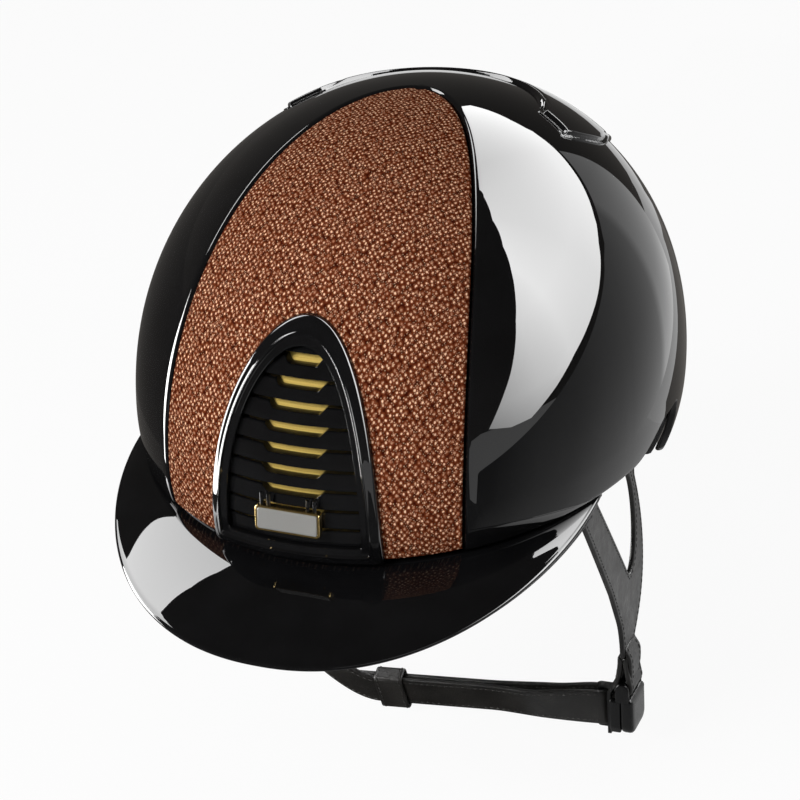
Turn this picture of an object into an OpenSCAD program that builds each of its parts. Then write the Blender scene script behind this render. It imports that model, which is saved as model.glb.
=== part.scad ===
// Riding helmet with a fabric front insert, vent grilles, a wide visor and a leather harness.
// Front is -Y, the wearer's left is +X, up is +Z. The origin is the centre of the head opening.

/* [Shell] */
// Width of the outer shell
shell_w = 216; // [204:2:228]
// Reach of the shell ahead of its widest point
shell_front = 135; // [127:1:143]
// Reach of the shell behind its widest point
shell_back = 134; // [126:1:142]
// Height of the crown above the widest plane
crown_h = 114; // [108:1:120]
// Depth at which the lower half would close
lower_h = 83; // [78:1:90]
// Height of the widest plane above the head opening
widest_z = 17; // [15:0.5:19]
// Wall of the outer shell
shell_t = 3; // [2.4:0.2:3.6]
// Height of the rim above the head opening at the brow
rim_front_z = -5.4; // [-7:0.2:-4]
// Rise of the rim from the brow to the temple
rim_rise = 5.8; // [4:0.2:7]
// Rise of the rim into the notch above each ear
ear_rise = 11; // [8:0.5:12]
// Drop of the rim behind each ear
ear_drop = 26; // [20:1:30]
// Further drop of the rim towards the nape
nape_drop = 8; // [4:1:10]

/* [Front insert] */
// Depth of the recess that takes the insert
recess = 2.6; // [2.2:0.1:3]
// Wall of the shell under the insert
tray_t = 2; // [1.6:0.2:2.4]
// Thickness of the insert's fabric
fabric_t = 0.7; // [0.4:0.1:0.9]
// Thickness of the insert's carrier
carrier_t = 1.4; // [1:0.1:1.5]
// Gap between the insert and the edge of its recess
insert_gap = 0.6; // [0.4:0.1:1]

/* [Grilles] */
// Half width of the front grille at its foot
front_grille_w = 32.4; // [30:0.2:34]
// Height of the front grille
front_grille_h = 86.5; // [84:0.5:88]
// Half width of the rear grille at its foot
rear_grille_w = 34; // [32:0.5:35]
// Height of the rear grille
rear_grille_h = 74; // [72.5:0.5:75]
// Width of the grille frames
bezel_w = 7; // [6.5:0.1:8]
// How far the crest of a frame stands proud of the shell
bezel_proud = 3.2; // [2.4:0.2:4]
// Depth of the frames' inner walls below the shell's surface
bezel_depth = 5.5; // [5:0.1:5.8]
// Spacing of the louvres
louvre_pitch = 7.45; // [7:0.05:8]
// Height of one louvre at its sides
louvre_h = 5.9; // [5:0.1:6.4]
// Depth of the notch in the middle of a louvre
notch_h = 2.6; // [2:0.2:3.4]
// Thickness of the metal mesh behind the louvres
mesh_t = 0.7; // [0.5:0.1:0.9]

/* [Badge] */
// Width of the badge
badge_w = 24.5; // [20:0.5:28]
// Height of the badge
badge_h = 10; // [8:0.5:12]
// Height of the badge's centre above the head opening
badge_z = 12.6; // [11:0.5:14]
// Thickness of the badge's metal rim
badge_t = 3; // [2.4:0.2:3.6]
// Thickness of the badge's plate
plate_t = 1.2; // [0.8:0.1:1.6]

/* [Visor] */
// Half width of the visor at its ends
visor_w = 94; // [92:0.5:95]
// Distance of the visor's ends ahead of the widest point
visor_end_y = 54.4; // [53:0.2:56]
// Reach of the visor ahead of its ends
visor_len = 115.7; // [105:0.5:125]
// Height of the visor's ends
visor_end_z = -0.4; // [-1.4:0.2:0]
// Height of the visor's tip
visor_tip_z = -26.7; // [-32:0.5:-20]
// Thickness of the visor
visor_t = 2.6; // [2:0.2:3]
// Bulge of the visor's upper face
visor_bulge = 1.6; // [0:0.2:3]
// Thickness of the lining under the visor
lining_t = 0.8; // [0.5:0.1:1.2]
// Height of the visor's flange behind the shell
flange_h = 6; // [5:0.1:6.3]

/* [Liners] */
// Thickness of the energy-absorbing foam
foam_t = 18.1; // [16:0.1:18.5]
// Thickness of the comfort liner's textile bowl
bowl_t = 2.4; // [2:0.2:3]
// Thickness of the pads in the comfort liner
pad_t = 3.4; // [2.5:0.1:4.5]
// Thickness of the hook and loop dots between foam and bowl
dot_t = 1.3; // [1:0.1:1.4]
// Depth of the air channels in the foam
channel_d = 7; // [5:0.5:8]

/* [Harness] */
// Thickness of the leather straps
strap_t = 2.2; // [1.8:0.1:2.6]
// Width of the chin strap
chin_w = 16; // [14:1:20]
// Width of the stem of each side strap
stem_w = 16; // [13:1:18]
// Length of the left side strap, down to its loop
left_strap_len = 101; // [98:1:112]
// Length of the right side strap, down to its loop
right_strap_len = 84; // [80:1:92]
// Length of the left strap's loop and of the chin strap's loop
left_loop_len = 18; // [16:0.5:20]
// Length of the right strap's loop
right_loop_len = 13; // [12:0.5:16]
// Radius of the bars in the buckle and the ring
bar_r = 1.7; // [1.5:0.1:2]
// Length of the keeper along the strap
keeper_len = 13; // [9:1:16]
// Wall of the keeper
keeper_t = 1.4; // [1.2:0.1:2]

/* [Fits] */
// Clearance between shells, foam and other nested skins
skin_gap = 0.3; // [0.2:0.05:0.4]
// Clearance of turning and sliding pieces
run_gap = 0.3; // [0.2:0.05:0.4]

/* [Hidden] */

// Superellipse exponents of the shell's section and plan, and its egg-shaped taper
roundness = 0.948;
squareness = 0.991;
egg = 0.038;
// How far the crown sits behind the widest plane's centre
crown_shift = 8.4;
// Blunt tip of the insert, as a share of the plan size
insert_tip = 0.2;
// Exponent of the grilles' arches
arch_power = 2.2;
// Angles at which the visor ends and where the ear notches lie
visor_end = 65;
notch_front = 74;
notch_top = 87;
notch_back = 93;
notch_foot = 95.5;
// Offsets from the outer surface, counted inwards
tray_in = recess + tray_t;
foam_out = shell_t + skin_gap;
foam_out_tray = tray_in + skin_gap;
flange_out = foam_out_tray;
flange_t = 2;
behind_flange = flange_out + flange_t + skin_gap;
foam_in = foam_out + foam_t;
bowl_out = foam_in + dot_t + skin_gap;
bowl_in = bowl_out + bowl_t;
pad_out = bowl_in + 0.35;
pad_in = pad_out + pad_t;
fabric_out = 0.1;
carrier_out = fabric_out + fabric_t;

// Levels of the skins' grid: steps below the widest plane, then angles above it
lows = [0, 0.24, 0.6, 1];
low_steps = len(lows) - 1;
ups = [9, 18.5, 25, 31, 38, 45, 52, 60, 67, 74, 80, 85.5];
level_count = low_steps + 1 + len(ups);
front_window_top = 31;
rear_window_top = 18.5;

function pw(v, e) = sign(v) * pow(abs(v), e);
function mix(a, b, t) = a + (b - a) * t;
function ease(a, b, v) = let (t = max(0, min(1, (v - a) / (b - a)))) t * t * (3 - 2 * t);
function unit(v) = v / norm(v);

// The dome: girth is the share of the full plan size, h the height above the widest plane
function girth(psi) = pow(abs(cos(psi)), roundness);
function height(psi, d) = psi >= 0 ? (crown_h - d) * pow(sin(psi), roundness)
    : -(lower_h - d) * pow(-sin(psi), roundness);
function angle_at(h, d) = h >= 0 ? asin(pow(min(1, h / (crown_h - d)), 1 / roundness))
    : -asin(pow(min(1, -h / (lower_h - d)), 1 / roundness));
function level_at(h, d, straight) = [h < 0 && straight ? 1 : girth(angle_at(h, d)), h];
function on_level(phi, lv, d) =
    let (c = lv[0], h = lv[1], cy = -pw(cos(phi), squareness),
        b = (cy < 0 ? shell_front : shell_back) - d)
    [(shell_w / 2 - d) * pw(sin(phi), squareness) * c * (1 + egg * cy * c),
        b * cy * c + (h > 0 ? crown_shift * pow(h / crown_h, 2) : 0), widest_z + h];
function at_height(phi, z, d, straight = false) =
    on_level(phi, level_at(z - widest_z, d, straight), d);
function at_angle(phi, psi, d) = on_level(phi, [girth(psi), height(psi, d)], d);

// Angle about the crown of a point at half width x on a level
function phi_of_x(x, c, d = 0, cy = -0.95, n = 3) =
    let (s = min(1, abs(x) / ((shell_w / 2 - d) * c * (1 + egg * cy * c))),
        phi = asin(pow(s, 1 / squareness)))
    n == 0 ? sign(x) * phi : phi_of_x(x, c, d, sign(cy) * pow(cos(phi), squareness), n - 1);
// Point at x, z on the front (side = -1) or the back (side = 1) of the dome
function on_face(x, z, d, side) =
    let (lv = level_at(z - widest_z, d, false), phi = phi_of_x(x, lv[0], d, side * 0.95))
    on_level(side < 0 ? phi : 180 - phi, lv, d);

// Lower edge of the shell
function rim_z(phi) = let (p = abs(phi))
    rim_front_z + rim_rise * pow(min(p, 75) / visor_end, 2)
    + ear_rise * ease(notch_front, notch_top, p)
    - ear_drop * ease(notch_back, notch_foot, p) - nape_drop * ease(100, 160, p);

// Half width of a grille's arch at height z above its foot
function arch_x(w, h, z) = w * sqrt(max(0, 1 - pow(max(0, min(1, z / h)), arch_power)));
front_foot_z = rim_front_z + 0.9;
rear_foot_z = -14;
// The opening inside a frame: the frame is wider at the top of its arch
top_extra = 2.5;
function inner_w(w) = w - bezel_w;
function inner_h(h) = h - 2 * bezel_w - top_extra;
function inner_foot(foot) = foot + bezel_w;
// The window in the shell ends under the frame's bead
function window_x(w, h, foot, z) = max(4, arch_x(w - bezel_w * 0.6, h - bezel_w * 0.43, z - foot));
function front_window_phi(lv) =
    phi_of_x(window_x(front_grille_w, front_grille_h, front_foot_z, widest_z + lv[1]), max(lv[0], 0.2));
function rear_window_phi(lv) =
    phi_of_x(window_x(rear_grille_w, rear_grille_h, rear_foot_z, widest_z + lv[1]), max(lv[0], 0.2), 0, 0.95);
function insert_phi(lv) = acos(lv[0] / (lv[0] + insert_tip));
function inset(lv, gap) = gap / (shell_w / 2 * max(lv[0], 0.02)) * 180 / PI;

// Columns of the skins' grid: [zone, place], zone 0 front, 1 left, 2 back, 3 right
insert_edge = 33.6;
back_edge = 158;
front_cols = [-1, -0.8, -0.65, -0.5, -0.25, 0, 0.25, 0.5, 0.65, 0.8, 1];
side_cols = [insert_edge + 0.3, 41, 48, 55, 61, 67, 70.5, 74, 77, 80, 83, 87, 93, 94, 94.7, 95.5,
    99, 105, 112, 120, 129, 139, 149];
back_cols = [-1, -0.65, -0.5, -0.25, 0, 0.25, 0.5, 0.65, 1];
cols = [for (t = front_cols) [0, t], for (a = side_cols) [1, a], for (t = back_cols) [2, t],
    for (i = [len(side_cols) - 1:-1:0]) [3, side_cols[i]]];
poles = [for (c = cols) c[0] == 0 ? 0 : 1];
function share(t, window, edge) = abs(t) <= 0.5 ? window * abs(t) * 2
    : mix(window, edge, abs(t) * 2 - 1);
function phi_of(col, lv) =
    col[0] == 0 ? sign(col[1]) * share(col[1], min(front_window_phi(lv), insert_phi(lv) * 0.6), insert_phi(lv))
    : col[0] == 2 ? 180 + sign(col[1]) * share(col[1], min(rear_window_phi(lv), 17), 180 - back_edge)
    : (col[0] == 1 ? 1 : -1) * mix(insert_phi(lv), 180, (col[1] - insert_edge) / (180 - insert_edge));
function rim_phi(col) = let (p = phi_of(col, [1, 0])) p > 180 ? p - 360 : p;

// Grid level j of a skin that starts at height z0
function grid_level(j, z0, d, straight) =
    j <= low_steps ? level_at((z0 - widest_z) * (1 - lows[j]), d, straight)
    : let (psi = j == level_count ? 90 : ups[j - low_steps - 1]) [girth(psi), height(psi, d)];
function grid_point(col, j, z0, d, straight = false) =
    let (lv = grid_level(j, z0, d, straight)) on_level(phi_of(col, lv), lv, d);

// Closed solid between two skins on one grid, with walls round its edges and its open cells
module skin(columns, rows, outer, inner, closed = false, pole_of = [], open = function(i, j) false) {
    nc = len(columns);
    capped = len(pole_of) > 0;
    np = capped ? max(pole_of) + 1 : 0;
    half = nc * rows + np;
    wide = closed ? nc : nc - 1;
    tall = capped ? rows : rows - 1;
    function id(s, i, j) = s * half + (j < rows ? (i % nc) * rows + j : nc * rows + pole_of[i % nc]);
    function solid(i, j) = let (k = closed ? (i + nc) % nc : i)
        k >= 0 && k < wide && j >= 0 && j < tall && !open(k, j);
    function tri(a, b, c) = a == b || b == c || a == c ? [] : [[a, b, c]];
    function quad(a, b, c, d) = concat(tri(a, b, c), tri(a, c, d));
    function grid(f) = concat(
        [for (c = columns) for (j = [0:rows - 1]) f(c, j)],
        [if (capped) for (k = [0:np - 1]) f(columns[search(k, pole_of)[0]], rows)]);
    faces = [for (i = [0:wide - 1]) for (j = [0:tall - 1]) if (solid(i, j))
        each let (a = id(0, i, j), b = id(0, i, j + 1), c = id(0, i + 1, j + 1), d = id(0, i + 1, j))
        concat(
            quad(a, b, c, d), quad(a + half, d + half, c + half, b + half),
            solid(i, j - 1) ? [] : quad(a, d, d + half, a + half),
            capped && j == tall - 1 || solid(i, j + 1) ? [] : quad(c, b, b + half, c + half),
            solid(i - 1, j) ? [] : quad(b, a, a + half, b + half),
            solid(i + 1, j) ? [] : quad(d, c, c + half, d + half))];
    polyhedron(points = concat(grid(outer), grid(inner)), faces = faces, convexity = 8);
}

// Child placed on the dome's face at x, z with its own +Z along the outward normal
module seat(x, z, d, side) {
    p = on_face(x, z, d, side);
    n = unit(cross(on_face(x + 1, z, d, side) - p, on_face(x, z + 1, d, side) - p)) * -side;
    translate(p) rotate([0, acos(n[2]), atan2(n[1], n[0])]) children();
}

// The shell: open rows under each grille, and a recess that takes the insert
function in_front_window(col, j) = col[0] == 0 && col[1] >= -0.5 && col[1] < 0.5
    && j >= 1 && j < low_steps + 1 + search(front_window_top, ups)[0];
function in_back_window(col, j) = col[0] == 2 && col[1] >= -0.5 && col[1] < 0.5
    && j >= 1 && j < low_steps + 1 + search(rear_window_top, ups)[0];
module outer_shell() {
    color("#0b0b0c") skin(cols, level_count,
        function(c, j) grid_point(c, j, rim_z(rim_phi(c)), c[0] == 0 ? recess : 0),
        function(c, j) grid_point(c, j, rim_z(rim_phi(c)), c[0] == 0 ? tray_in : shell_t),
        closed = true, pole_of = poles,
        open = function(i, j) in_front_window(cols[i], j) || in_back_window(cols[i], j));
}

// The insert follows the recess, less a gap, and is open under the front grille
insert_rows = level_count;
insert_lift = 1.2;
insert_cols = [for (t = front_cols) [0, t]];
function insert_point(col, j, d) =
    let (psi = ups[len(ups) - 1] + 2,
        lv = j == insert_rows ? [girth(psi), height(psi, d)]
            : grid_level(j, rim_z(rim_phi(col)) + insert_lift, d, false),
        edge = phi_of(col, lv) - (abs(col[1]) == 1 ? sign(col[1]) * inset(lv, insert_gap) : 0))
    on_level(edge, lv, d);
module insert_skin(from, to) {
    skin(insert_cols, insert_rows + 1, function(c, j) insert_point(c, j, from),
        function(c, j) insert_point(c, j, to), open = function(i, j) in_front_window(insert_cols[i], j));
}
module front_insert_carrier() {
    color("#1a1a1a") insert_skin(carrier_out, carrier_out + carrier_t);
}
module front_insert_fabric() {
    color("#9a4a30") insert_skin(fabric_out, carrier_out);
}

// Grille frame: a ring between an outer and an inner arch, with a double bead and an inner wall
arch_steps = 22;
foot_steps = 8;
function arch_ring(w, h, foot) = concat(
    [for (i = [0:arch_steps]) let (a = 180 * i / arch_steps)
        [w * cos(a), foot + h * pow(sin(a), 2 / arch_power)]],
    [for (i = [1:foot_steps - 1]) [mix(-w, w, i / foot_steps), foot]]);
frame_seat = -0.25;
frame_rows = [0, 0.22, 0.46, 0.68, 0.8, 0.84, 1];
frame_tops = [-0.7, -1, -0.62, -0.85, -0.7, -0.6, -0.25];
module grille_frame(w, h, foot, side) {
    outer = arch_ring(w, h, foot);
    inner = arch_ring(inner_w(w), inner_h(h), inner_foot(foot));
    inner_wall = len(frame_rows) - 2;
    function at(i, j, d) = let (p = mix(outer[i], inner[i], frame_rows[j])) on_face(p[0], p[1], d, side);
    skin([for (i = [0:len(outer) - 1]) side < 0 ? i : len(outer) - 1 - i], len(frame_rows),
        function(i, j) at(i, j, bezel_proud * frame_tops[j]),
        function(i, j) at(i, j, j >= inner_wall ? bezel_depth : frame_seat), closed = true);
}
module front_grille_frame() {
    color("#0d0d0e") grille_frame(front_grille_w, front_grille_h, front_foot_z, -1);
}
module rear_grille_frame() {
    color("#0d0d0e") grille_frame(rear_grille_w, rear_grille_h, rear_foot_z, 1);
}

// Louvres: blades between the frame's inner walls, each with a notch in the middle of its top
blade_in = 5.2;
function blade_half(w, h, foot, z) = arch_x(inner_w(w), inner_h(h), z - inner_foot(foot)) - skin_gap / 2;
module louvres(w, h, foot, side, count) {
    for (k = [0:count - 1]) {
        z0 = inner_foot(foot) + k * louvre_pitch;
        reach = blade_half(w, h, foot, z0 + louvre_h);
        foot_reach = max(reach, blade_half(w, h, foot, z0 + 0.6));
        notch = min(9.2, reach * 0.45);
        xs = [-1, -notch - 2.4, -notch, 0, notch, notch + 2.4, 1];
        x_at = function(i, j)
            (side < 0 ? 1 : -1) * xs[i] * (i > 0 && i < 6 ? 1 : j == 0 ? foot_reach : reach);
        top = function(i) i >= 2 && i <= 4 ? louvre_h - notch_h : louvre_h;
        skin([for (i = [0:6]) i], 2,
            function(i, j) on_face(x_at(i, j), z0 + (j == 0 ? 0 : top(i)), j == 0 ? 0.4 : 1.2, side),
            function(i, j) on_face(x_at(i, j), z0 + (j == 0 ? 0.6 : top(i)), blade_in, side));
    }
}
module front_grille_louvres() {
    color("#101011") louvres(front_grille_w, front_grille_h, front_foot_z, -1, 9);
}
module rear_grille_louvres() {
    color("#101011") louvres(rear_grille_w, rear_grille_h, rear_foot_z, 1, 7);
}

// Mesh: a curved plate that seats against the back of the frame's inner wall
mesh_steps = 8;
mesh_lap = 0.9;
module grille_mesh(w, h, foot, side) {
    mesh_w = inner_w(w) + mesh_lap;
    mesh_h = inner_h(h) + mesh_lap;
    z0 = inner_foot(foot) - mesh_lap;
    function at(t, j, d) = let (up = mesh_h * 0.985 * (1 - pow(1 - j / mesh_steps, 1.6)))
        on_face(t * arch_x(mesh_w, mesh_h, up), z0 + up, d, side);
    skin([for (i = [-3:3]) (side < 0 ? i : -i) / 3], mesh_steps + 1,
        function(t, j) at(t, j, bezel_depth + 0.1), function(t, j) at(t, j, bezel_depth + 0.1 + mesh_t));
}
module front_grille_mesh() {
    color("#b8924a") grille_mesh(front_grille_w, front_grille_h, front_foot_z, -1);
}
module rear_grille_mesh() {
    color("#b8924a") grille_mesh(rear_grille_w, rear_grille_h, rear_foot_z, 1);
}

// Pins that hold the frames to the shell, pressed through the skins under the beads
pin_r = 1.3;
module grille_pins(w, h, foot, side) {
    for (x = [-1, 1], k = [0.12, 0.62]) {
        z = foot + h * k;
        seat(x * (arch_x(w, h, h * k) - bezel_w * 0.33), z, -0.1, side)
            mirror([0, 0, 1]) cylinder(r = pin_r, h = (side < 0 ? tray_in : shell_t), $fn = 24);
    }
}
module front_grille_pins() {
    color("#303030") grille_pins(front_grille_w, front_grille_h, front_foot_z, -1);
}
module rear_grille_pins() {
    color("#303030") grille_pins(rear_grille_w, rear_grille_h, rear_foot_z, 1);
}

// Badge: a metal rim that frames a bare plate, hung on the louvres by wire clips
badge_r = 1.4;
rim_w = 0.9;
module rounded_plate(w, h, r, t) {
    linear_extrude(t) union() {
        square([w - 2 * r, h], center = true);
        square([w, h - 2 * r], center = true);
        for (x = [-1, 1], y = [-1, 1])
            translate([x * (w / 2 - r), y * (h / 2 - r)]) circle(r = r, $fn = 24);
    }
}
module on_badge() {
    translate([0, on_face(0, badge_z, 0, -1)[1] - 0.2, badge_z]) rotate([90, 0, 0]) children();
}
module badge_rim() {
    color("#b8924a") on_badge() difference() {
        rounded_plate(badge_w, badge_h, badge_r, badge_t);
        translate([0, 0, badge_t - plate_t])
            rounded_plate(badge_w - 2 * rim_w, badge_h - 2 * rim_w, badge_r - 0.5, plate_t + 1);
    }
}
module badge_plate() {
    color("#c9ccd0") on_badge() translate([0, 0, badge_t - plate_t])
        rounded_plate(badge_w - 2 * rim_w - 0.1, badge_h - 2 * rim_w - 0.1, badge_r - 0.5, plate_t + 0.2);
}
clip_r = 0.7;
module badge_clips() {
    color("#b8924a") on_badge() for (x = [-1, 1], k = [0, 1])
        translate([x * (badge_w / 2 - 2.2 - 2.6 * k), badge_h / 2 - 0.1, badge_t * 0.5])
            rotate([-90, 0, 0]) cylinder(r = clip_r, h = 4.6, $fn = 16);
}

// Visor: a curved plate that runs in under the shell's rim and turns up behind it as a flange
visor_cols = [for (i = [-12:12]) visor_end * sign(i) * pow(abs(i) / 12, 0.9)];
function visor_edge(phi) = let (th = phi / visor_end * 90)
    [visor_w * pw(sin(th), 0.915), -visor_end_y - visor_len * pow(abs(cos(th)), 1.068),
        visor_end_z + (visor_tip_z - visor_end_z) * pow(abs(cos(th)), 1.274)];
function visor_foot(phi) = at_height(phi, rim_z(phi) - 0.4, flange_out);
visor_shares = [1, 0.75, 0.5, 0.25, 0];
function visor_top(phi, t) = mix(visor_foot(phi), visor_edge(phi), t)
    + [0, 0, visor_bulge * 4 * t * (1 - t) * abs(cos(phi / visor_end * 90))];
function visor_under(phi, t, drop) =
    mix(at_height(phi, rim_z(phi) - 0.4, flange_out + flange_t), visor_top(phi, 1), t)
    + [0, 0, visor_bulge * 4 * t * (1 - t) * abs(cos(phi / visor_end * 90)) - drop];
function flange_z(phi) = rim_z(phi) - 0.3 + flange_h * (1 - ease(52, 62, abs(phi)));
module visor() {
    n = len(visor_shares);
    color("#0b0b0c") skin(visor_cols, n + 1,
        function(p, j) j < n ? visor_top(p, visor_shares[j]) : at_height(p, flange_z(p), flange_out),
        function(p, j) j < n ? visor_under(p, visor_shares[j], visor_t)
            : at_height(p, flange_z(p), flange_out + flange_t));
}
module visor_lining() {
    drop = visor_t + 0.25;
    color("#1b1b1d") skin([for (p = visor_cols) p * 0.93], 4,
        function(p, j) visor_under(p, mix(0.93, 0.06, j / 3), drop),
        function(p, j) visor_under(p, mix(0.93, 0.06, j / 3), drop + lining_t));
}
module visor_rivets() {
    length = flange_out + flange_t - recess - 0.1;
    color("#303030") for (x = [-50, -38, 38, 50])
        seat(x, rim_front_z + 5, recess, -1)
            mirror([0, 0, 1]) cylinder(r = 1.5, h = length, $fn = 24);
}

// Cover on the rear of the crown: two forward horns, and a raised mouth on each side
cover_start = 93.5;
cover_out = -1.7;
cover_in = -0.6;
mouth_lift = 1;
function cover_share(phi) = (abs(phi - 180) < 0.01 ? 0 : abs(180 - phi)) / (180 - cover_start);
function cover_top(phi) = let (s = cover_share(phi)) 66.5 - 6.5 * ease(0.88, 1, s);
function cover_foot(phi) = let (s = cover_share(phi)) 27 + 32 * pow(s, 1.5);
function mouth(phi, j) = let (a = 180 - abs(180 - phi))
    mouth_lift * ease(101, 107, a) * (1 - ease(115, 121, a)) * (j == 0 ? 1 : j == 1 ? 0.5 : 0);
cover_cols = [for (i = [-14:14]) 180 + (180 - cover_start) * sign(i) * pow(abs(i) / 14, 0.8)];
cover_rows = 7;
function on_cover(phi, j, d) =
    at_angle(phi, mix(cover_foot(phi), cover_top(phi), j / (cover_rows - 1)), d - mouth(phi, j));
module crown_cover() {
    color("#0c0c0d") skin(cover_cols, cover_rows, function(p, j) on_cover(p, j, cover_out),
        function(p, j) on_cover(p, j, cover_in));
}
module crown_vent_grilles() {
    span = [103, 106, 109, 112, 115, 118];
    for (side = [0, 1]) color("#202022")
        skin([for (i = [0:5]) side == 0 ? span[i] : 360 - span[5 - i]], 2,
            function(p, j) at_angle(p, cover_foot(p) + 0.4 + j, -0.3 - mouth(p, 0) * (0.8 - 0.3 * j)),
            function(p, j) at_angle(p, cover_foot(p) + 0.4 + j, -0.05));
}

// Foam: follows the shell, steps back behind the visor's flange, and holds air channels
anchor_top_z = 10.5;
function foam_foot(phi) = let (p = abs(phi))
    max(rim_z(phi) + 2.8, p > 82 && p < 99 ? rim_z(notch_top) + 3 : p > 58 && p < 113 ? anchor_top_z : -99);
function in_channel(col) = (col[0] == 0 || col[0] == 2) && abs(col[1]) <= 0.5;
function foam_offset(col, j) =
    j >= 1 && j < level_count && in_channel(col) ? foam_out_tray + channel_d
    : j == level_count ? foam_out_tray + channel_d
    : j <= 1 && abs(rim_phi(col)) < 68 ? behind_flange + 0.2
    : col[0] == 0 ? foam_out_tray : foam_out;
module foam_liner() {
    color("#2a2a2c") skin(cols, level_count,
        function(c, j) grid_point(c, j, foam_foot(rim_phi(c)), foam_offset(c, j)),
        function(c, j) grid_point(c, j, foam_foot(rim_phi(c)), foam_in, true),
        closed = true, pole_of = [for (c = cols) 0]);
}
band_h = 3;
band_drop = 0.8;
// Depth of the band's inner side: it is thinner beside the strap anchors
function band_depth(phi) = let (p = abs(phi)) behind_flange
    + (p < 56 || p > 114 ? 2.4 : p < 80 ? 1 : p < 96.6 ? 1.4 : -0.4);
function band_inner(phi, z) = let (a = at_height(phi, z, band_depth(phi)),
    b = at_height(phi, z, bowl_out - 1.5, true)) norm([a[0], a[1]]) > norm([b[0], b[1]]) ? a : b;
// The band keeps its width where the rim drops behind the ear
function band_phi(phi, j) = let (p = abs(phi))
    phi + (j == 0 ? 0 : sign(phi) * 2 * ease(notch_back - 2, notch_back, p)
        * (1 - ease(notch_foot, notch_foot + 1.5, p)));
function band_z(phi, j) = rim_z(phi) - band_drop + band_h * j;
module rim_band() {
    color("#161617") skin(cols, 2,
        function(c, j) at_height(band_phi(rim_phi(c), j), band_z(rim_phi(c), j),
            abs(rim_phi(c)) < 68 ? behind_flange : foam_out + 0.1),
        function(c, j) band_inner(band_phi(rim_phi(c), j), band_z(rim_phi(c), j)), closed = true);
}
module hook_loop_dots() {
    color("#3a3a3c") for (phi = [30, 75, 140, 220, 285, 330]) for (psi = [35])
        skin([for (i = [-2:2]) phi + 2.5 * i], 4,
            function(p, j) at_angle(p, psi + 3 * j, foam_in + 0.45),
            function(p, j) at_angle(p, psi + 3 * j, foam_in + dot_t));
}

// Comfort liner: a textile bowl with straight lower walls, and pads sewn inside it
liner_ear_z = 3;
ring_cols = [for (c = cols) if (c[0] != 0 || abs(c[1]) != 0.8) c];
function liner_foot(phi) = max(rim_z(phi) + 1.5, abs(phi) > 60 && abs(phi) < 113 ? liner_ear_z : -99);
module liner_bowl() {
    color("#1d1d1f") skin(ring_cols, level_count,
        function(c, j) grid_point(c, j, liner_foot(rim_phi(c)), bowl_out, true),
        function(c, j) grid_point(c, j, liner_foot(rim_phi(c)), bowl_in, true),
        closed = true, pole_of = [for (c = ring_cols) 0]);
}
module crown_pad() {
    rows = [58, 64, 70, 76, 83];
    color("#262628") skin([for (i = [0:23]) 15 * i], len(rows),
        function(p, j) at_angle(p, j == len(rows) ? 90 : rows[j], pad_out + 0.1),
        function(p, j) at_angle(p, j == len(rows) ? 90 : rows[j], pad_in - (j == 0 ? 1 : 0)),
        closed = true, pole_of = [for (i = [0:23]) 0]);
}
// Angles and upper edges of the pads on the liner's wall
brow_pad_end = 56;
brow_pad_top = crown_h * 0.3;
side_pad_from = 60;
side_pad_to = 89;
side_pad_top = crown_h * 0.456;
nape_pad_from = 112;
nape_pad_top = crown_h * 0.333;
module wall_pad(from, to, low, high, steps) {
    skin([for (i = [0:steps]) mix(from, to, i / steps)], 5,
        function(p, j) let (f = p > 180 ? p - 360 : p)
            at_height(p, mix(liner_foot(f) + low, high, j / 4), pad_out + 0.1, true),
        function(p, j) let (f = p > 180 ? p - 360 : p)
            at_height(p, mix(liner_foot(f) + low, high, j / 4), pad_in - (j == 0 || j == 4 ? 1.4 : 0), true));
}
module brow_pad() {
    color("#262628") wall_pad(-brow_pad_end, brow_pad_end, 1, brow_pad_top, 14);
}
module left_side_pad() {
    color("#262628") wall_pad(side_pad_from, side_pad_to, 2, side_pad_top, 6);
}
module right_side_pad() {
    color("#262628") wall_pad(360 - side_pad_to, 360 - side_pad_from, 2, side_pad_top, 6);
}
module nape_pad() {
    color("#262628") wall_pad(nape_pad_from, 360 - nape_pad_from, 2, nape_pad_top, 16);
}

// Side straps: each lies in a plane through its two anchors and the buckle
front_anchor = [shell_w / 2 - 24, -47, -2];
rear_anchor = [shell_w / 2 - 21, 17, -3];
loop_point = [shell_w / 2 - 13.5, 5, -115];
along = unit(rear_anchor - front_anchor);
out = unit(cross(along, front_anchor - loop_point));
down = cross(out, along) * -sign(cross(out, along)[2]);
stem_u = (loop_point - front_anchor) * along;
function plane_point(u, v, w) = front_anchor + along * u + down * v + out * w;
function flip(p) = [-p[0], p[1], p[2]];
module strap_plane() {
    multmatrix([for (i = [0:3]) i < 3 ? [along[i], down[i], out[i], front_anchor[i]] : [0, 0, 0, 1]])
        children();
}
function curve(a, b, c, d, n) = [for (i = [0:n]) let (t = i / n, r = 1 - t)
    a * r * r * r + b * 3 * r * r * t + c * 3 * r * t * t + d * t * t * t];
front_top = [-9, 6.5];
rear_top = [57.8, 67];
crotch = [56.7, 66.5];
neck = 97;
pattern_len = 101;
stem_front = stem_u - stem_w / 2;
stem_back = stem_u + stem_w / 2;
module strap_outline(len) {
    k = len / pattern_len;
    points = concat(
        [[front_top[0], 0], [front_top[0], 7], [31.9, 64.1]],
        curve([40.7, 79.1], [44, 84], [stem_front, 90], [stem_front, neck], 4),
        [[stem_front, pattern_len], [stem_back, pattern_len]],
        curve([stem_back, neck], [86, 78], [76, 44], [rear_top[1] - 1, 24], 12),
        [[rear_top[1], 10], [rear_top[1], 0], [rear_top[0], 0], [rear_top[0], 6]],
        curve([57, 20], [66, 30], [70, 62], crotch, 10),
        [[front_top[1] + 10, 16], [front_top[1], 0]]);
    polygon([for (p = points) [p[0], p[1] * k]]);
}
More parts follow.
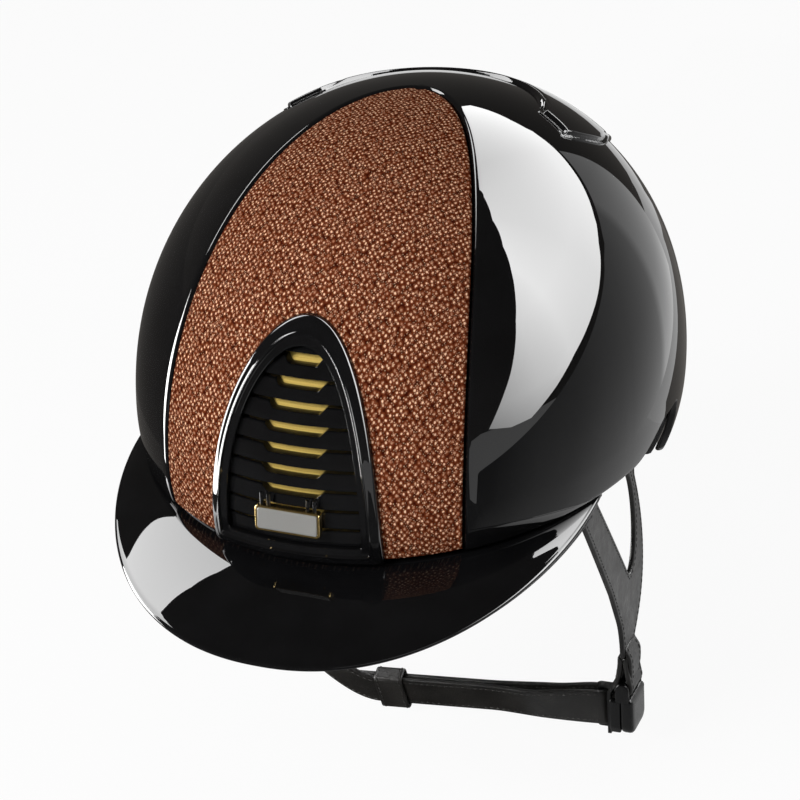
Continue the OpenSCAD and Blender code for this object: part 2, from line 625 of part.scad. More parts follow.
module side_strap(len) {
    strap_plane() union() {
        translate([0, 0, -strap_t / 2]) linear_extrude(strap_t) strap_outline(len);
        for (top = [front_top, rear_top])
            translate([top[0], 0, 0]) rotate([0, 90, 0])
                cylinder(r = strap_t / 2, h = top[1] - top[0], $fn = 24);
    }
}
module left_side_strap() {
    color("#2a2a2b") side_strap(left_strap_len);
}
module right_side_strap() {
    color("#2a2a2b") mirror([1, 0, 0]) side_strap(right_strap_len);
}
// Fixed ends of the straps above the line where the leather bends
end_len = 8;
end_v = -strap_t / 2 - run_gap - end_len;
module strap_ends() {
    strap_plane() for (top = [front_top, rear_top])
        translate([top[0], end_v, -strap_t / 2]) cube([top[1] - top[0], end_len, strap_t]);
}
module left_strap_ends() {
    color("#2a2a2b") strap_ends();
}
module right_strap_ends() {
    color("#2a2a2b") mirror([1, 0, 0]) strap_ends();
}
// Anchors: a lug outside each strap end, an arm, and a foot on the shell's inner wall
lug_t = 2;
lug_w = 11;
arm_z = [5.5, 8.5];
arm_w = 6;
foot_t = 1.6;
module anchor(top, shift) {
    mid = (top[0] + top[1]) / 2;
    root = plane_point(mid, end_v + end_len / 2, 0);
    arm_y = root[1] + shift;
    at = max([for (p = [50:0.5:115]) if (at_height(p, arm_z[0], shell_t)[1] < arm_y) p]);
    wall = at_height(at, arm_z[0], shell_t + 0.35);
    lug_x = root[0] + strap_t / 2 + 0.4;
    strap_plane() translate([mid - lug_w / 2, end_v, strap_t / 2]) cube([lug_w, end_len, lug_t]);
    translate([lug_x, arm_y - arm_w / 2, arm_z[0]])
        cube([wall[0] - lug_x - foot_t / 2, arm_w, arm_z[1] - arm_z[0]]);
    skin([for (i = [-2:2]) at + (i + shift / 4) * 1.6], 2,
        function(p, j) at_height(p, arm_z[0] - 1 + 5 * j, shell_t + 0.35),
        function(p, j) at_height(p, arm_z[0] - 1 + 5 * j, shell_t + 0.35 + foot_t));
}
// The rear arm is set back, clear of the ear notch
front_arm_shift = 0;
rear_arm_shift = 4;
module left_strap_anchors() {
    color("#202022") {
        anchor(front_top, front_arm_shift);
        anchor(rear_top, rear_arm_shift);
    }
}
module right_strap_anchors() {
    color("#202022") mirror([1, 0, 0]) {
        anchor(front_top, front_arm_shift);
        anchor(rear_top, rear_arm_shift);
    }
}
rivet_head = 0.5;
module anchor_rivets() {
    color("#8a8a8a") for (s = [0, 1]) mirror([s, 0, 0]) strap_plane()
        for (top = [front_top, rear_top])
            translate([(top[0] + top[1]) / 2, end_v + end_len / 2, -strap_t / 2 - rivet_head])
                cylinder(r = 1.8, h = strap_t + lug_t + rivet_head, $fn = 24);
}

// Leather loop round a bar: two layers that part, drawn with the bar at len on the second axis
bar_hole = bar_r + run_gap;
loop_r = bar_hole + strap_t;
module loop_profile(len) {
    difference() {
        union() {
            translate([0, len]) circle(r = loop_r, $fn = 48);
            polygon([[-strap_t, 0], [-loop_r + 0.02, len], [loop_r - 0.02, len], [strap_t, 0]]);
        }
        translate([0, len]) circle(r = bar_hole, $fn = 48);
        polygon([[0, len * 0.3], [-bar_hole + 0.02, len], [bar_hole - 0.02, len]]);
    }
}
left_drop = left_loop_len - loop_r;
right_drop = right_loop_len - loop_r;
left_bar_v = left_strap_len + left_drop;
right_bar_v = right_strap_len + right_drop;
module strap_loop(at, drop) {
    strap_plane() translate([stem_front, at, 0]) rotate([0, 90, 0]) linear_extrude(stem_w)
        loop_profile(drop);
}
module left_strap_loop() {
    color("#2a2a2b") strap_loop(left_strap_len, left_drop);
}
module right_strap_loop() {
    color("#2a2a2b") mirror([1, 0, 0]) strap_loop(right_strap_len, right_drop);
}
// Pointed leaf that lies outside the left loop
leaf_t = 1.8;
leaf_len = 23;
leaf_w = 13;
leaf_angle = 12;
module left_strap_leaf() {
    color("#2a2a2b") strap_plane() translate([stem_u, left_strap_len - 5, strap_t / 2 + 0.1])
        rotate([leaf_angle, 0, 0]) linear_extrude(leaf_t)
            polygon(concat([[-leaf_w / 2 + 2, 0]],
                curve([-leaf_w / 2, 4], [-leaf_w / 2, leaf_len * 0.6],
                    [-leaf_w * 0.3, leaf_len * 0.85], [0, leaf_len], 6),
                curve([leaf_w * 0.18, leaf_len * 0.97], [leaf_w * 0.4, leaf_len * 0.8],
                    [leaf_w / 2, leaf_len * 0.6], [leaf_w / 2, 4], 6),
                [[leaf_w / 2 - 2, 0]]));
}

// Right ring: a wire ring between the right strap's loop and the chin strap's loop
ring_in = chin_w / 2 + 0.5;
ring_pitch = 2 * loop_r + run_gap;
ring_arm = ring_in + bar_r;
module right_ring() {
    color("#3c3c3e") mirror([1, 0, 0]) strap_plane() translate([stem_u, right_bar_v, 0]) union() {
        for (k = [0, 1]) translate([-ring_arm, k * ring_pitch, 0]) rotate([0, 90, 0])
            cylinder(r = bar_r, h = 2 * ring_arm, $fn = 32);
        for (s = [-1, 1]) translate([s * ring_arm, 0, 0]) {
            rotate([-90, 0, 0]) cylinder(r = bar_r, h = ring_pitch, $fn = 32);
            for (k = [0, 1]) translate([0, k * ring_pitch, 0]) sphere(r = bar_r, $fn = 32);
        }
    }
}

// Buckle base: a bar for the left loop, and a housing whose pocket opens inwards and down
base_w = 20;
base_arm_w = 2;
base_arm_t = 6;
house_top = loop_r + run_gap;
house_h = 17;
house_r = 4;
house_in = -5.5;
house_out = 4.5;
pocket_w = 14.6;
pocket_top = 2;
pocket_floor = -1.4;
magnet_r = 4;
magnet_t = 2;
module at_left_bar() {
    strap_plane() translate([stem_u, left_bar_v, 0]) children();
}
// Housing seen from outside: square at the bar, with round lower corners
module house_outline() {
    translate([-base_w / 2, 0]) square([base_w, house_h - house_r]);
    translate([house_r - base_w / 2, 0]) square([base_w - 2 * house_r, house_h]);
    for (s = [-1, 1])
        translate([s * (base_w / 2 - house_r), house_h - house_r]) circle(r = house_r, $fn = 48);
}
module buckle_base() {
    color("#151516") at_left_bar() difference() {
        union() {
            translate([-base_w / 2, 0, 0]) rotate([0, 90, 0]) cylinder(r = bar_r, h = base_w, $fn = 32);
            for (s = [-1, 1]) {
                translate([s * (base_w - base_arm_w) / 2 - base_arm_w / 2, 0, -base_arm_t / 2])
                    cube([base_arm_w, house_top + 1, base_arm_t]);
                translate([s * (base_w - base_arm_w) / 2 - base_arm_w / 2, 0, 0]) rotate([0, 90, 0])
                    cylinder(r = base_arm_t / 2, h = base_arm_w, $fn = 32);
            }
            translate([0, house_top, house_in]) linear_extrude(house_out - house_in) house_outline();
        }
        translate([-pocket_w / 2, house_top + pocket_top, house_in - 1])
            cube([pocket_w, house_h, pocket_floor - house_in + 1]);
        translate([0, tongue_v, pocket_floor - 0.5])
            cylinder(r = magnet_r, h = magnet_t + 0.5, $fn = 48);
    }
}
module buckle_magnet() {
    color("#77787a") at_left_bar() translate([0, tongue_v, pocket_floor])
        cylinder(r = magnet_r, h = magnet_t, $fn = 48);
}
// Tongue: a plate in the pocket, a face plate in front of it, and an upright bar for the chin strap
face_t = 1.5;
face_in = house_in - run_gap - face_t;
tongue_bar_w = face_in - run_gap - loop_r;
tongue_reach = chin_w / 2 + 0.4;
tongue_v = house_top + house_h / 2;
tongue_magnet_t = 1.4;
tongue_lug = 1.5;
tongue_end = tongue_reach + tongue_lug;
module buckle_tongue() {
    color("#151516") at_left_bar() difference() {
        union() {
            translate([-pocket_w / 2 + run_gap, house_top + pocket_top + run_gap, face_in])
                cube([pocket_w - 2 * run_gap, house_h - pocket_top - run_gap,
                    pocket_floor - run_gap - face_in]);
            translate([-pocket_w / 2 + run_gap, tongue_v - tongue_end, face_in])
                cube([pocket_w - 2 * run_gap, 2 * tongue_end, face_t]);
            translate([0, tongue_v - tongue_end, tongue_bar_w]) rotate([-90, 0, 0])
                cylinder(r = bar_r, h = 2 * tongue_end, $fn = 32);
            for (k = [-1, 1])
                translate([-bar_r, tongue_v + k * (tongue_end - tongue_lug / 2) - tongue_lug / 2, tongue_bar_w])
                    cube([2 * bar_r, tongue_lug, face_in - tongue_bar_w + 0.5]);
        }
        translate([0, tongue_v, pocket_floor - run_gap - tongue_magnet_t])
            cylinder(r = magnet_r, h = tongue_magnet_t + 1, $fn = 48);
    }
}
module tongue_magnet() {
    color("#77787a") at_left_bar() translate([0, tongue_v, pocket_floor - run_gap - tongue_magnet_t])
        cylinder(r = magnet_r, h = tongue_magnet_t, $fn = 48);
}

// Chin strap: a front layer from the right ring to the tongue, a turn round the tongue's bar, and
// a tail layer that comes back behind it. The route runs straight, bends, and rises to the ring.
chin_a = plane_point(stem_u, left_bar_v + tongue_v, tongue_bar_w);
chin_slope = 0.12;
chin_bend_x = -24;
chin_b = [chin_bend_x, chin_a[1], chin_a[2] - chin_slope * (chin_a[0] - chin_bend_x)];
ring_bar = flip(plane_point(stem_u, right_bar_v + ring_pitch, 0));
chin_c = [ring_bar[0], chin_a[1], ring_bar[2]];
chin_drop = left_loop_len - loop_r;
chin_end = chin_c - unit(chin_c - chin_b) * chin_drop;
bend_in = 7;
bend_out = 12;
chin_b1 = chin_b + unit(chin_a - chin_b) * bend_in;
chin_b2 = chin_b + unit(chin_end - chin_b) * bend_out;
function bend_at(t) = let (r = 1 - t) chin_b1 * r * r + chin_b * 2 * r * t + chin_b2 * t * t;
route = concat(
    [for (i = [0:11]) mix(chin_a, chin_b1, i / 12)],
    [for (i = [0:4]) bend_at(i / 4)],
    [for (i = [1:7]) mix(chin_b2, chin_end, i / 7)]);
last = len(route) - 1;
function heading(i) = unit(route[min(i + 1, last)] - route[max(i - 1, 0)]);
// Share of the way to the bend, and from the bend to the ring
function before(i) = min(1, i / 12);
function after(i) = max(0, (i - 16) / (last - 16));
chin_tilt = 20;
function lean(i) = chin_tilt * ease(0, 0.35, before(i)) + (90 - chin_tilt) * ease(0, 1, after(i));
function width_dir(i) = let (t = heading(i), d = [0, sin(lean(i)), -cos(lean(i))]) unit(d - t * (d * t));
function face_dir(i) = unit(cross(heading(i), width_dir(i)));
layer_far = bar_hole + strap_t / 2;
layer_near = strap_t / 2 + run_gap;
function layer_off(i) = mix(layer_far, layer_near, ease(0.25, 0.5, before(i)));
function front_at(i, j, d) = route[i] + width_dir(i) * (chin_w * (0.5 - j))
    + face_dir(i) * (layer_off(i) * (1 - ease(0.3, 1, after(i))) + d);
module ribbon(n, at) {
    skin([for (i = [n:-1:0]) i], 2,
        function(i, j) at(i, j, strap_t / 2), function(i, j) at(i, j, -strap_t / 2));
}
module chin_strap() {
    color("#29292a") ribbon(last, function(i, j, d) front_at(i, j, d));
}
// The tail keeps on straight where the front layer bends
tail_steps = 13;
tail_sag = 1.4;
tail_drop = 0.6;
function tail_mid(i) = mix(chin_a, chin_b1, i / 12) + width_dir(min(i, 11))
    * (tail_drop * ease(0, 0.5, before(i))
        + tail_sag * ease(0.02, 0.2, before(i)) * (1 - ease(0.25, 0.5, before(i))));
function tail_at(i, j, d) = tail_mid(i) + width_dir(min(i, 11)) * (chin_w * (0.5 - j))
    - face_dir(min(i, 11)) * (layer_off(min(i, 11)) - d);
module chin_strap_tail() {
    color("#29292a") ribbon(tail_steps, function(i, j, d) tail_at(i, j, d));
}
module chin_strap_turn() {
    color("#29292a") at_left_bar() translate([0, tongue_v - chin_w / 2, tongue_bar_w])
        rotate([-90, 0, 0]) linear_extrude(chin_w) difference() {
            circle(r = loop_r, $fn = 64);
            circle(r = bar_hole, $fn = 64);
            translate([-loop_r - 1, 0]) square([2 * loop_r + 2, loop_r + 1]);
        }
}
module chin_strap_loop() {
    side = flip(along);
    dir = unit((chin_c - chin_b) - side * ((chin_c - chin_b) * side));
    up = cross(side, dir);
    place = [for (i = [0:3]) i < 3 ? [up[i], dir[i], -side[i], ring_bar[i]] : [0, 0, 0, 1]];
    color("#29292a") multmatrix(place)
        translate([0, -chin_drop, -chin_w / 2]) linear_extrude(chin_w) loop_profile(chin_drop);
}

// Keeper: a flat tube round both layers of the chin strap
keeper_at = 11.2;
keeper_play = 0.3;
keeper_low = tail_drop;
module strap_keeper() {
    i = 10;
    t = heading(i);
    w = width_dir(i);
    f = face_dir(i);
    mid = mix(chin_a, chin_b1, keeper_at / 12) + w * keeper_low / 2;
    bore = [keeper_len + 2, chin_w + keeper_low + 2 * keeper_play, 2 * (strap_t + run_gap + keeper_play)];
    color("#2c2c2d") multmatrix([for (k = [0:3]) k < 3 ? [t[k], w[k], f[k], mid[k]] : [0, 0, 0, 1]])
        difference() {
            cube([keeper_len, bore[1] + 2 * keeper_t, bore[2] + 2 * keeper_t], center = true);
            cube(bore, center = true);
        }
}

outer_shell();
front_insert_carrier();
front_insert_fabric();
front_grille_frame();
front_grille_louvres();
front_grille_mesh();
front_grille_pins();
badge_rim();
badge_plate();
badge_clips();
visor();
visor_lining();
visor_rivets();
crown_cover();
crown_vent_grilles();
rear_grille_frame();
rear_grille_louvres();
rear_grille_mesh();
rear_grille_pins();
foam_liner();
rim_band();
hook_loop_dots();
left_strap_anchors();
right_strap_anchors();
left_strap_ends();
right_strap_ends();
anchor_rivets();
liner_bowl();
crown_pad();
brow_pad();
left_side_pad();
right_side_pad();
nape_pad();
left_side_strap();
left_strap_loop();
left_strap_leaf();
buckle_base();
buckle_magnet();
right_side_strap();
right_strap_loop();
right_ring();
chin_strap();
chin_strap_tail();
chin_strap_turn();
chin_strap_loop();
buckle_tongue();
tongue_magnet();
strap_keeper();
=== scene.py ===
"""Riding helmet: smooth shell, insert, grilles, visor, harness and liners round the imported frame."""
import math

import bmesh
import bpy
import numpy as np
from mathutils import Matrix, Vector
from mathutils.geometry import delaunay_2d_cdt


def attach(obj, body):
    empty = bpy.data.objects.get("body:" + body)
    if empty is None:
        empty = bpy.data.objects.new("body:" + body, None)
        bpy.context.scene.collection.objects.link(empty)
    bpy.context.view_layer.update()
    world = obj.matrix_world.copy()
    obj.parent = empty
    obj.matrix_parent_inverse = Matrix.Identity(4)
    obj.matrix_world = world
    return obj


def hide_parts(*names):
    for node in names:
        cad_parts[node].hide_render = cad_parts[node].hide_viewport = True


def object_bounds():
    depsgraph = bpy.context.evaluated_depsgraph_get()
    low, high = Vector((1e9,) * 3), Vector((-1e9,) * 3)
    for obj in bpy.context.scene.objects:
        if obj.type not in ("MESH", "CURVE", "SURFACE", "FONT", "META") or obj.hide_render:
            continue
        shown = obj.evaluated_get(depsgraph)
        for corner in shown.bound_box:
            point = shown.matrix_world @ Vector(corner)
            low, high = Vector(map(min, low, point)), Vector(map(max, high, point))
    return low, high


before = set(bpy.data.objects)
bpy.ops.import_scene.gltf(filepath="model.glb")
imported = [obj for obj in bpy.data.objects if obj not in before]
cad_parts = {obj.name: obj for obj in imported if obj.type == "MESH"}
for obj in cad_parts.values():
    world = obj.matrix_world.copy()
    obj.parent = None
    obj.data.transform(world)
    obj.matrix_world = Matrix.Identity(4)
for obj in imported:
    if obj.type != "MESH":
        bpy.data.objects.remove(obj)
cad_box = [list(corner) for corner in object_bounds()]

# Sizes in millimetres, as in the part's source
MM = 0.001
SHELL_W, SHELL_FRONT, SHELL_BACK, CROWN_H, LOWER_H = 216, 135, 134, 114, 83
WIDEST_Z, SHELL_T, CROWN_SHIFT = 17, 3, 8.4
ROUNDNESS, SQUARENESS, EGG, INSERT_TIP = 0.948, 0.991, 0.038, 0.2
RIM_FRONT_Z, RIM_RISE, EAR_RISE, EAR_DROP, NAPE_DROP = -5.4, 5.8, 11, 26, 8
NOTCH_FRONT, NOTCH_TOP, NOTCH_BACK, NOTCH_FOOT = 74, 87, 93, 95.5
RECESS, TRAY_T, FABRIC_OUT = 2.6, 2, 0.1
TRAY_IN = RECESS + TRAY_T
SKIN_GAP, RUN_GAP = 0.3, 0.3
FLANGE_OUT, FLANGE_T, FLANGE_H = TRAY_IN + SKIN_GAP, 2, 6
BEHIND_FLANGE = FLANGE_OUT + FLANGE_T + SKIN_GAP
FOAM_OUT, FOAM_T = SHELL_T + SKIN_GAP, 18.1
FOAM_IN = FOAM_OUT + FOAM_T
BOWL_OUT, BOWL_T, PAD_T = FOAM_IN + 1.3 + SKIN_GAP, 2.4, 3.4
BOWL_IN = BOWL_OUT + BOWL_T
PAD_OUT = BOWL_IN + 0.35
BEZEL_W, BEZEL_DEPTH, TOP_EXTRA, ARCH_POWER = 7, 5.5, 2.5, 2.2
FRONT_GRILLE = (32.4, 86.5, RIM_FRONT_Z + 0.9, -1, 9)
REAR_GRILLE = (34, 74, -14, 1, 7)
LOUVRE_PITCH, LOUVRE_H, NOTCH_H = 7.45, 5.9, 2.3
VISOR_END, VISOR_W, VISOR_END_Y, VISOR_LEN = 65, 94, 54.4, 115.7
VISOR_END_Z, VISOR_TIP_Z, VISOR_T, VISOR_BULGE = -0.4, -26.7, 2.6, 1.6
COVER_START, COVER_OUT = 93.5, -1.7


# Small mathematics
def spw(v, e):
    return np.sign(v) * np.abs(v) ** e


def ease(a, b, v):
    t = np.clip((np.asarray(v, float) - a) / (b - a), 0, 1)
    return t * t * (3 - 2 * t)


def mix(a, b, t):
    return a + (b - a) * t


def unit(v):
    v = np.asarray(v, float)
    return v / np.linalg.norm(v, axis=-1, keepdims=True)


def run_of(points):
    """Distance run along a line of points."""
    return np.r_[0, np.cumsum(np.linalg.norm(np.diff(points, axis=0), axis=1))]


def even(points, n):
    s = run_of(points)
    at = np.linspace(0, s[-1], n)
    return np.stack([np.interp(at, s, column) for column in points.T], 1)


def even_loop(loop, n):
    return even(np.vstack([loop, loop[:1]]), n + 1)[:-1]


def curve(points, n):
    """Catmull-Rom curve through points, evenly spaced along its length."""
    p = np.asarray(points, float)
    q = np.vstack([2 * p[0] - p[1], p, 2 * p[-1] - p[-2]])
    t = np.linspace(0, 1, 17)[:-1, None]
    parts = []
    for k in range(len(p) - 1):
        a, b, c, d = q[k:k + 4]
        parts.append(0.5 * (2 * b + (c - a) * t + (2 * a - 5 * b + 4 * c - d) * t ** 2
                            + (3 * b - a - 3 * c + d) * t ** 3))
    return even(np.vstack(parts + [p[-1:]]), n)


def soften(loop, spread):
    """Rounds the corners of a closed, evenly sampled loop."""
    step = np.linalg.norm(np.roll(loop, -1, 0) - loop, axis=1).mean()
    reach = int(3 * spread / step) + 1
    weights = np.exp(-0.5 * (np.arange(-reach, reach + 1) * step / spread) ** 2)
    weights /= weights.sum()
    return sum(w * np.roll(loop, k, 0) for w, k in zip(weights, range(-reach, reach + 1)))


def inward(loop):
    """Unit normals of a closed 2-D loop, towards its inside."""
    x, y = loop.T
    side = unit(np.roll(loop, -1, 0) - loop)
    tang = unit(side + np.roll(side, 1, 0))
    area = np.sum(x * np.roll(y, -1) - np.roll(x, -1) * y)
    return np.stack([-tang[:, 1], tang[:, 0]], 1) * (1 if area > 0 else -1)


def corner(x, y, r, a0, n=8):
    """Points of a rounded corner with its centre at x, y."""
    a = np.radians(np.linspace(a0, a0 + 90, n))
    return np.stack([x + r * np.cos(a), y + r * np.sin(a)], 1)


def rounded_outline(w, h, r, n=10):
    return np.vstack([corner(cx * (w / 2 - r), cy * (h / 2 - r), r, a0, n)
                      for cx, cy, a0 in ((1, 1, 0), (-1, 1, 90), (-1, -1, 180), (1, -1, 270))])


# The dome
def level(h, d=0, straight=False):
    """Share of the dome's width at height h; straight keeps the wall upright below the widest line."""
    h = np.asarray(h, float)
    share = np.minimum(1, np.abs(h) / (np.where(h >= 0, CROWN_H, LOWER_H) - d))
    c = np.cos(np.arcsin(share ** (1 / ROUNDNESS))) ** ROUNDNESS
    return np.where((h < 0) & straight, 1, c)


def rise(psi, d):
    """Share of the width and height at angle psi above the widest line."""
    s = np.radians(psi)
    return np.abs(np.cos(s)) ** ROUNDNESS, (CROWN_H - np.asarray(d)) * np.abs(np.sin(s)) ** ROUNDNESS


def on_level(phi, c, h, d):
    """Points at depth d under the dome, from the angle phi, the share c and the height h."""
    phi, c, h, d = np.broadcast_arrays(*[np.asarray(v, float) for v in (phi, c, h, d)])
    p = np.radians(phi)
    cy = -spw(np.cos(p), SQUARENESS)
    b = np.where(cy < 0, SHELL_FRONT, SHELL_BACK) - d
    x = (SHELL_W / 2 - d) * spw(np.sin(p), SQUARENESS) * c * (1 + EGG * cy * c)
    y = b * cy * c + np.where(h > 0, CROWN_SHIFT * (h / CROWN_H) ** 2, 0)
    return np.stack([x, y, WIDEST_Z + h], -1)


def by_height(phi, z, d, straight=False):
    h = np.asarray(z, float) - WIDEST_Z
    return on_level(phi, level(h, d, straight), h, d)


def by_angle(phi, psi, d):
    return on_level(phi, *rise(psi, d), d)


def on_face(x, z, d, side):
    """Point at x, z on the front (side -1) or the back (side 1) of the dome."""
    x, z, d = np.broadcast_arrays(*[np.asarray(v, float) for v in (x, z, d)])
    h = z - WIDEST_Z
    c = level(h, d)
    cy = np.full(x.shape, 0.95 * side)
    for _ in range(5):
        s = np.minimum(1, np.abs(x) / ((SHELL_W / 2 - d) * c * (1 + EGG * cy * c)))
        phi = np.arcsin(s ** (1 / SQUARENESS))
        cy = side * np.cos(phi) ** SQUARENESS
    phi = np.degrees(phi) * np.where(x < 0, -1, 1)
    return on_level(phi if side < 0 else 180 - phi, c, h, d)


def rim_z(phi):
    p = np.abs(phi)
    return (RIM_FRONT_Z + RIM_RISE * (np.minimum(p, 75) / VISOR_END) ** 2
            + EAR_RISE * ease(NOTCH_FRONT, NOTCH_TOP, p) - EAR_DROP * ease(NOTCH_BACK, NOTCH_FOOT, p)
            - NAPE_DROP * ease(100, 160, p))


def insert_phi(c):
    return np.degrees(np.arccos(c / (c + INSERT_TIP)))


def arch_x(w, h, z):
    return w * np.sqrt(np.maximum(0, 1 - np.clip(z / h, 0, 1) ** ARCH_POWER))


def in_window(points, grille):
    """Whether points lie where the shell is open behind a grille."""
    w, h, foot, side, _ = grille
    x, y, z = np.moveaxis(points, -1, 0)
    reach = arch_x(w - 0.6 * BEZEL_W, h - 0.43 * BEZEL_W, z - foot)
    return (y * side > 0) & (z > foot + 3) & (z < foot + h - 4) & (np.abs(x) < reach)


# Meshes
def add_object(name, data):
    obj = bpy.data.objects.new(name, data)
    bpy.context.scene.collection.objects.link(obj)
    return obj


def make_mesh(name, points, faces, uv=None):
    mesh = bpy.data.meshes.new(name)
    mesh.from_pydata(points.reshape(-1, 3).tolist(), [], faces)
    if uv is not None:
        layer = mesh.uv_layers.new(name="UVMap")
        at = np.empty(len(mesh.loops), np.int32)
        mesh.loops.foreach_get("vertex_index", at)
        layer.data.foreach_set("uv", np.asarray(uv, np.float32).reshape(-1, 2)[at].ravel())
    return mesh


def piece(name, points, faces, material, body, nodes="", uv=None):
    """Makes a smooth mesh piece from points in millimetres, welded at its seams and poles."""
    mesh = make_mesh(name, np.asarray(points, float) * MM, faces, uv)
    bm = bmesh.new()
    bm.from_mesh(mesh)
    bmesh.ops.remove_doubles(bm, verts=bm.verts, dist=3e-6)
    bmesh.ops.dissolve_degenerate(bm, edges=bm.edges, dist=1e-7)
    bmesh.ops.recalc_face_normals(bm, faces=bm.faces)
    bm.to_mesh(mesh)
    bm.free()
    mesh.shade_smooth()
    mesh.materials.append(material)
    obj = add_object(name, mesh)
    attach(obj, body)
    if nodes:
        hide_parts(*nodes.split())
    return obj


def grid_faces(nu, nv, loop_u=False, loop_v=False, keep=None, start=0):
    i, j = np.meshgrid(np.arange(nu if loop_u else nu - 1), np.arange(nv if loop_v else nv - 1),
                       indexing="ij")
    i2, j2 = (i + 1) % nu, (j + 1) % nv
    f = np.stack([i * nv + j, i * nv + j2, i2 * nv + j2, i2 * nv + j], -1) + start
    return (f[keep] if keep is not None else f.reshape(-1, 4)).tolist()


def tube_faces(n, m, start=0):
    """Faces of n rings of m points, closed at both ends."""
    ends = [list(range(at, at + m)) for at in (start, start + (n - 1) * m)]
    return grid_faces(n, m, loop_v=True, start=start) + ends


def two_sides(nu, nv, loop_u=False, start=0):
    """Faces of two grids that lie back to back."""
    back = grid_faces(nu, nv, loop_u, start=start + nu * nv)
    return grid_faces(nu, nv, loop_u, start=start) + [f[::-1] for f in back]


def cells(p):
    """Centres of a grid's cells."""
    return (p[1:, 1:] + p[:-1, 1:] + p[1:, :-1] + p[:-1, :-1]) / 4


def fringe(nu, nv, steps):
    """Shares that fall to 0 at a grid's edges over a number of steps."""
    a, b = (np.minimum(1, np.minimum(np.arange(n), np.arange(n)[::-1]) / steps) for n in (nu, nv))
    return np.minimum(a[:, None], b)[..., None]


def pillow(name, top, bottom, material, body, node, share=1.0):
    """Closed skin between two grids; share thins it towards its middle."""
    mid = (top + bottom) / 2
    points = [mid + (top - mid) * share, mid + (bottom - mid) * share]
    return piece(name, points, two_sides(*top.shape[:2]), material, body, node)


def section(w, t, r):
    """Rounded rectangle, width w along the first axis, with more points on its wide sides."""
    corners, out = rounded_outline(w, t, r, 5), []
    for a, b in zip(corners, np.roll(corners, -1, 0)):
        m = 6 if np.linalg.norm(b - a) > w * 0.5 else 1
        out += [mix(a, b, i / m) for i in range(m)]
    return np.array(out)


def ribbon(name, path, wide, face, w, t, material, body, node, r=0.7, closed=False):
    """Strap with rounded edges along a path: wide and face are its width and face directions."""
    path, wide, face = (np.broadcast_to(v, path.shape)[:, None] for v in (path, wide, face))
    s = section(w, t, r)
    rows = path + s[:, :1] * wide + s[:, 1:] * face
    uv = np.stack(np.broadcast_arrays(run_of(path[:, 0])[:, None], s[:, 0]), -1)
    if not closed:
        mids = rows.mean(1, keepdims=True)
        steps = []
        for end, inner in ((0, 1), (-1, -2)):
            back = unit(path[end] - path[inner]) * r
            core = mix(mids[end], rows[end], 1 - r / (t / 2) * 0.5)
            steps.append([core + back * 0.9, mix(rows[end], core, 0.35) + back * 0.65])
        rows = np.concatenate([steps[0], rows, steps[1][::-1]])
        uv = np.concatenate([uv[:1], uv[:1], uv, uv[-1:], uv[-1:]])
    n, m = rows.shape[:2]
    faces = grid_faces(n, m, True, True) if closed else tube_faces(n, m)
    return piece(name, rows, faces, material, body, node, uv)


def plate(name, outline, t, place, material, body, node="", r=0.5, spacing=2):
    """Flat piece with rounded edges from a closed 2-D outline; place maps u, v, w to space."""
    n, normal = len(outline), inward(outline)
    steps = [(outline + normal * r * (1 - math.cos(a)), t / 2 - r + r * math.sin(a))
             for a in np.radians([90, 60, 30, 0])]
    flat, tris = fill(steps[0][0], spacing)
    uvw, faces, rims = [], [], []

    def band(a, b):
        return [[a + i, a + (i + 1) % n, b + (i + 1) % n, b + i] for i in range(n)]
    for s in (1, -1):
        last = len(uvw)
        uvw += [(*p, s * steps[0][1]) for p in flat]
        faces += [[last + v for v in f] for f in tris]
        for loop, height in steps[1:]:
            faces += band(last, len(uvw))
            last = len(uvw)
            uvw += [(*p, s * height) for p in loop]
        rims.append(last)
    uvw = np.array(uvw)
    return piece(name, place(*uvw.T), faces + band(*rims), material, body, node, uvw[:, :2])


def fill(ring, spacing):
    """Triangles inside a closed 2-D outline, on its own points and an even grid."""
    low, high = ring.min(0), ring.max(0)
    gx, gy = (np.arange(low[k] + spacing / 2, high[k], spacing) for k in (0, 1))
    inner = [(x, y) for x in gx for y in gy if inside(ring, x, y, spacing * 0.45)]
    flat = np.vstack([ring, np.array(inner).reshape(-1, 2)])
    got = delaunay_2d_cdt([Vector(p) for p in flat], [], [list(range(len(ring)))], 1, 1e-5)
    return flat, [[got[3][v][0] for v in f] for f in got[2] if all(got[3][v] for v in f)]


def inside(ring, x, y, margin):
    a, b = ring, np.roll(ring, -1, 0)
    cross = (a[:, 1] > y) != (b[:, 1] > y)
    rise_y = np.where(b[:, 1] == a[:, 1], 1, b[:, 1] - a[:, 1])
    at = a[:, 0] + (y - a[:, 1]) / rise_y * (b[:, 0] - a[:, 0])
    return np.sum(cross & (x < at)) % 2 == 1 and np.min(np.hypot(a[:, 0] - x, a[:, 1] - y)) > margin


STITCH, STITCH_PITCH, STITCH_R = 1.9, 2.7, 0.28


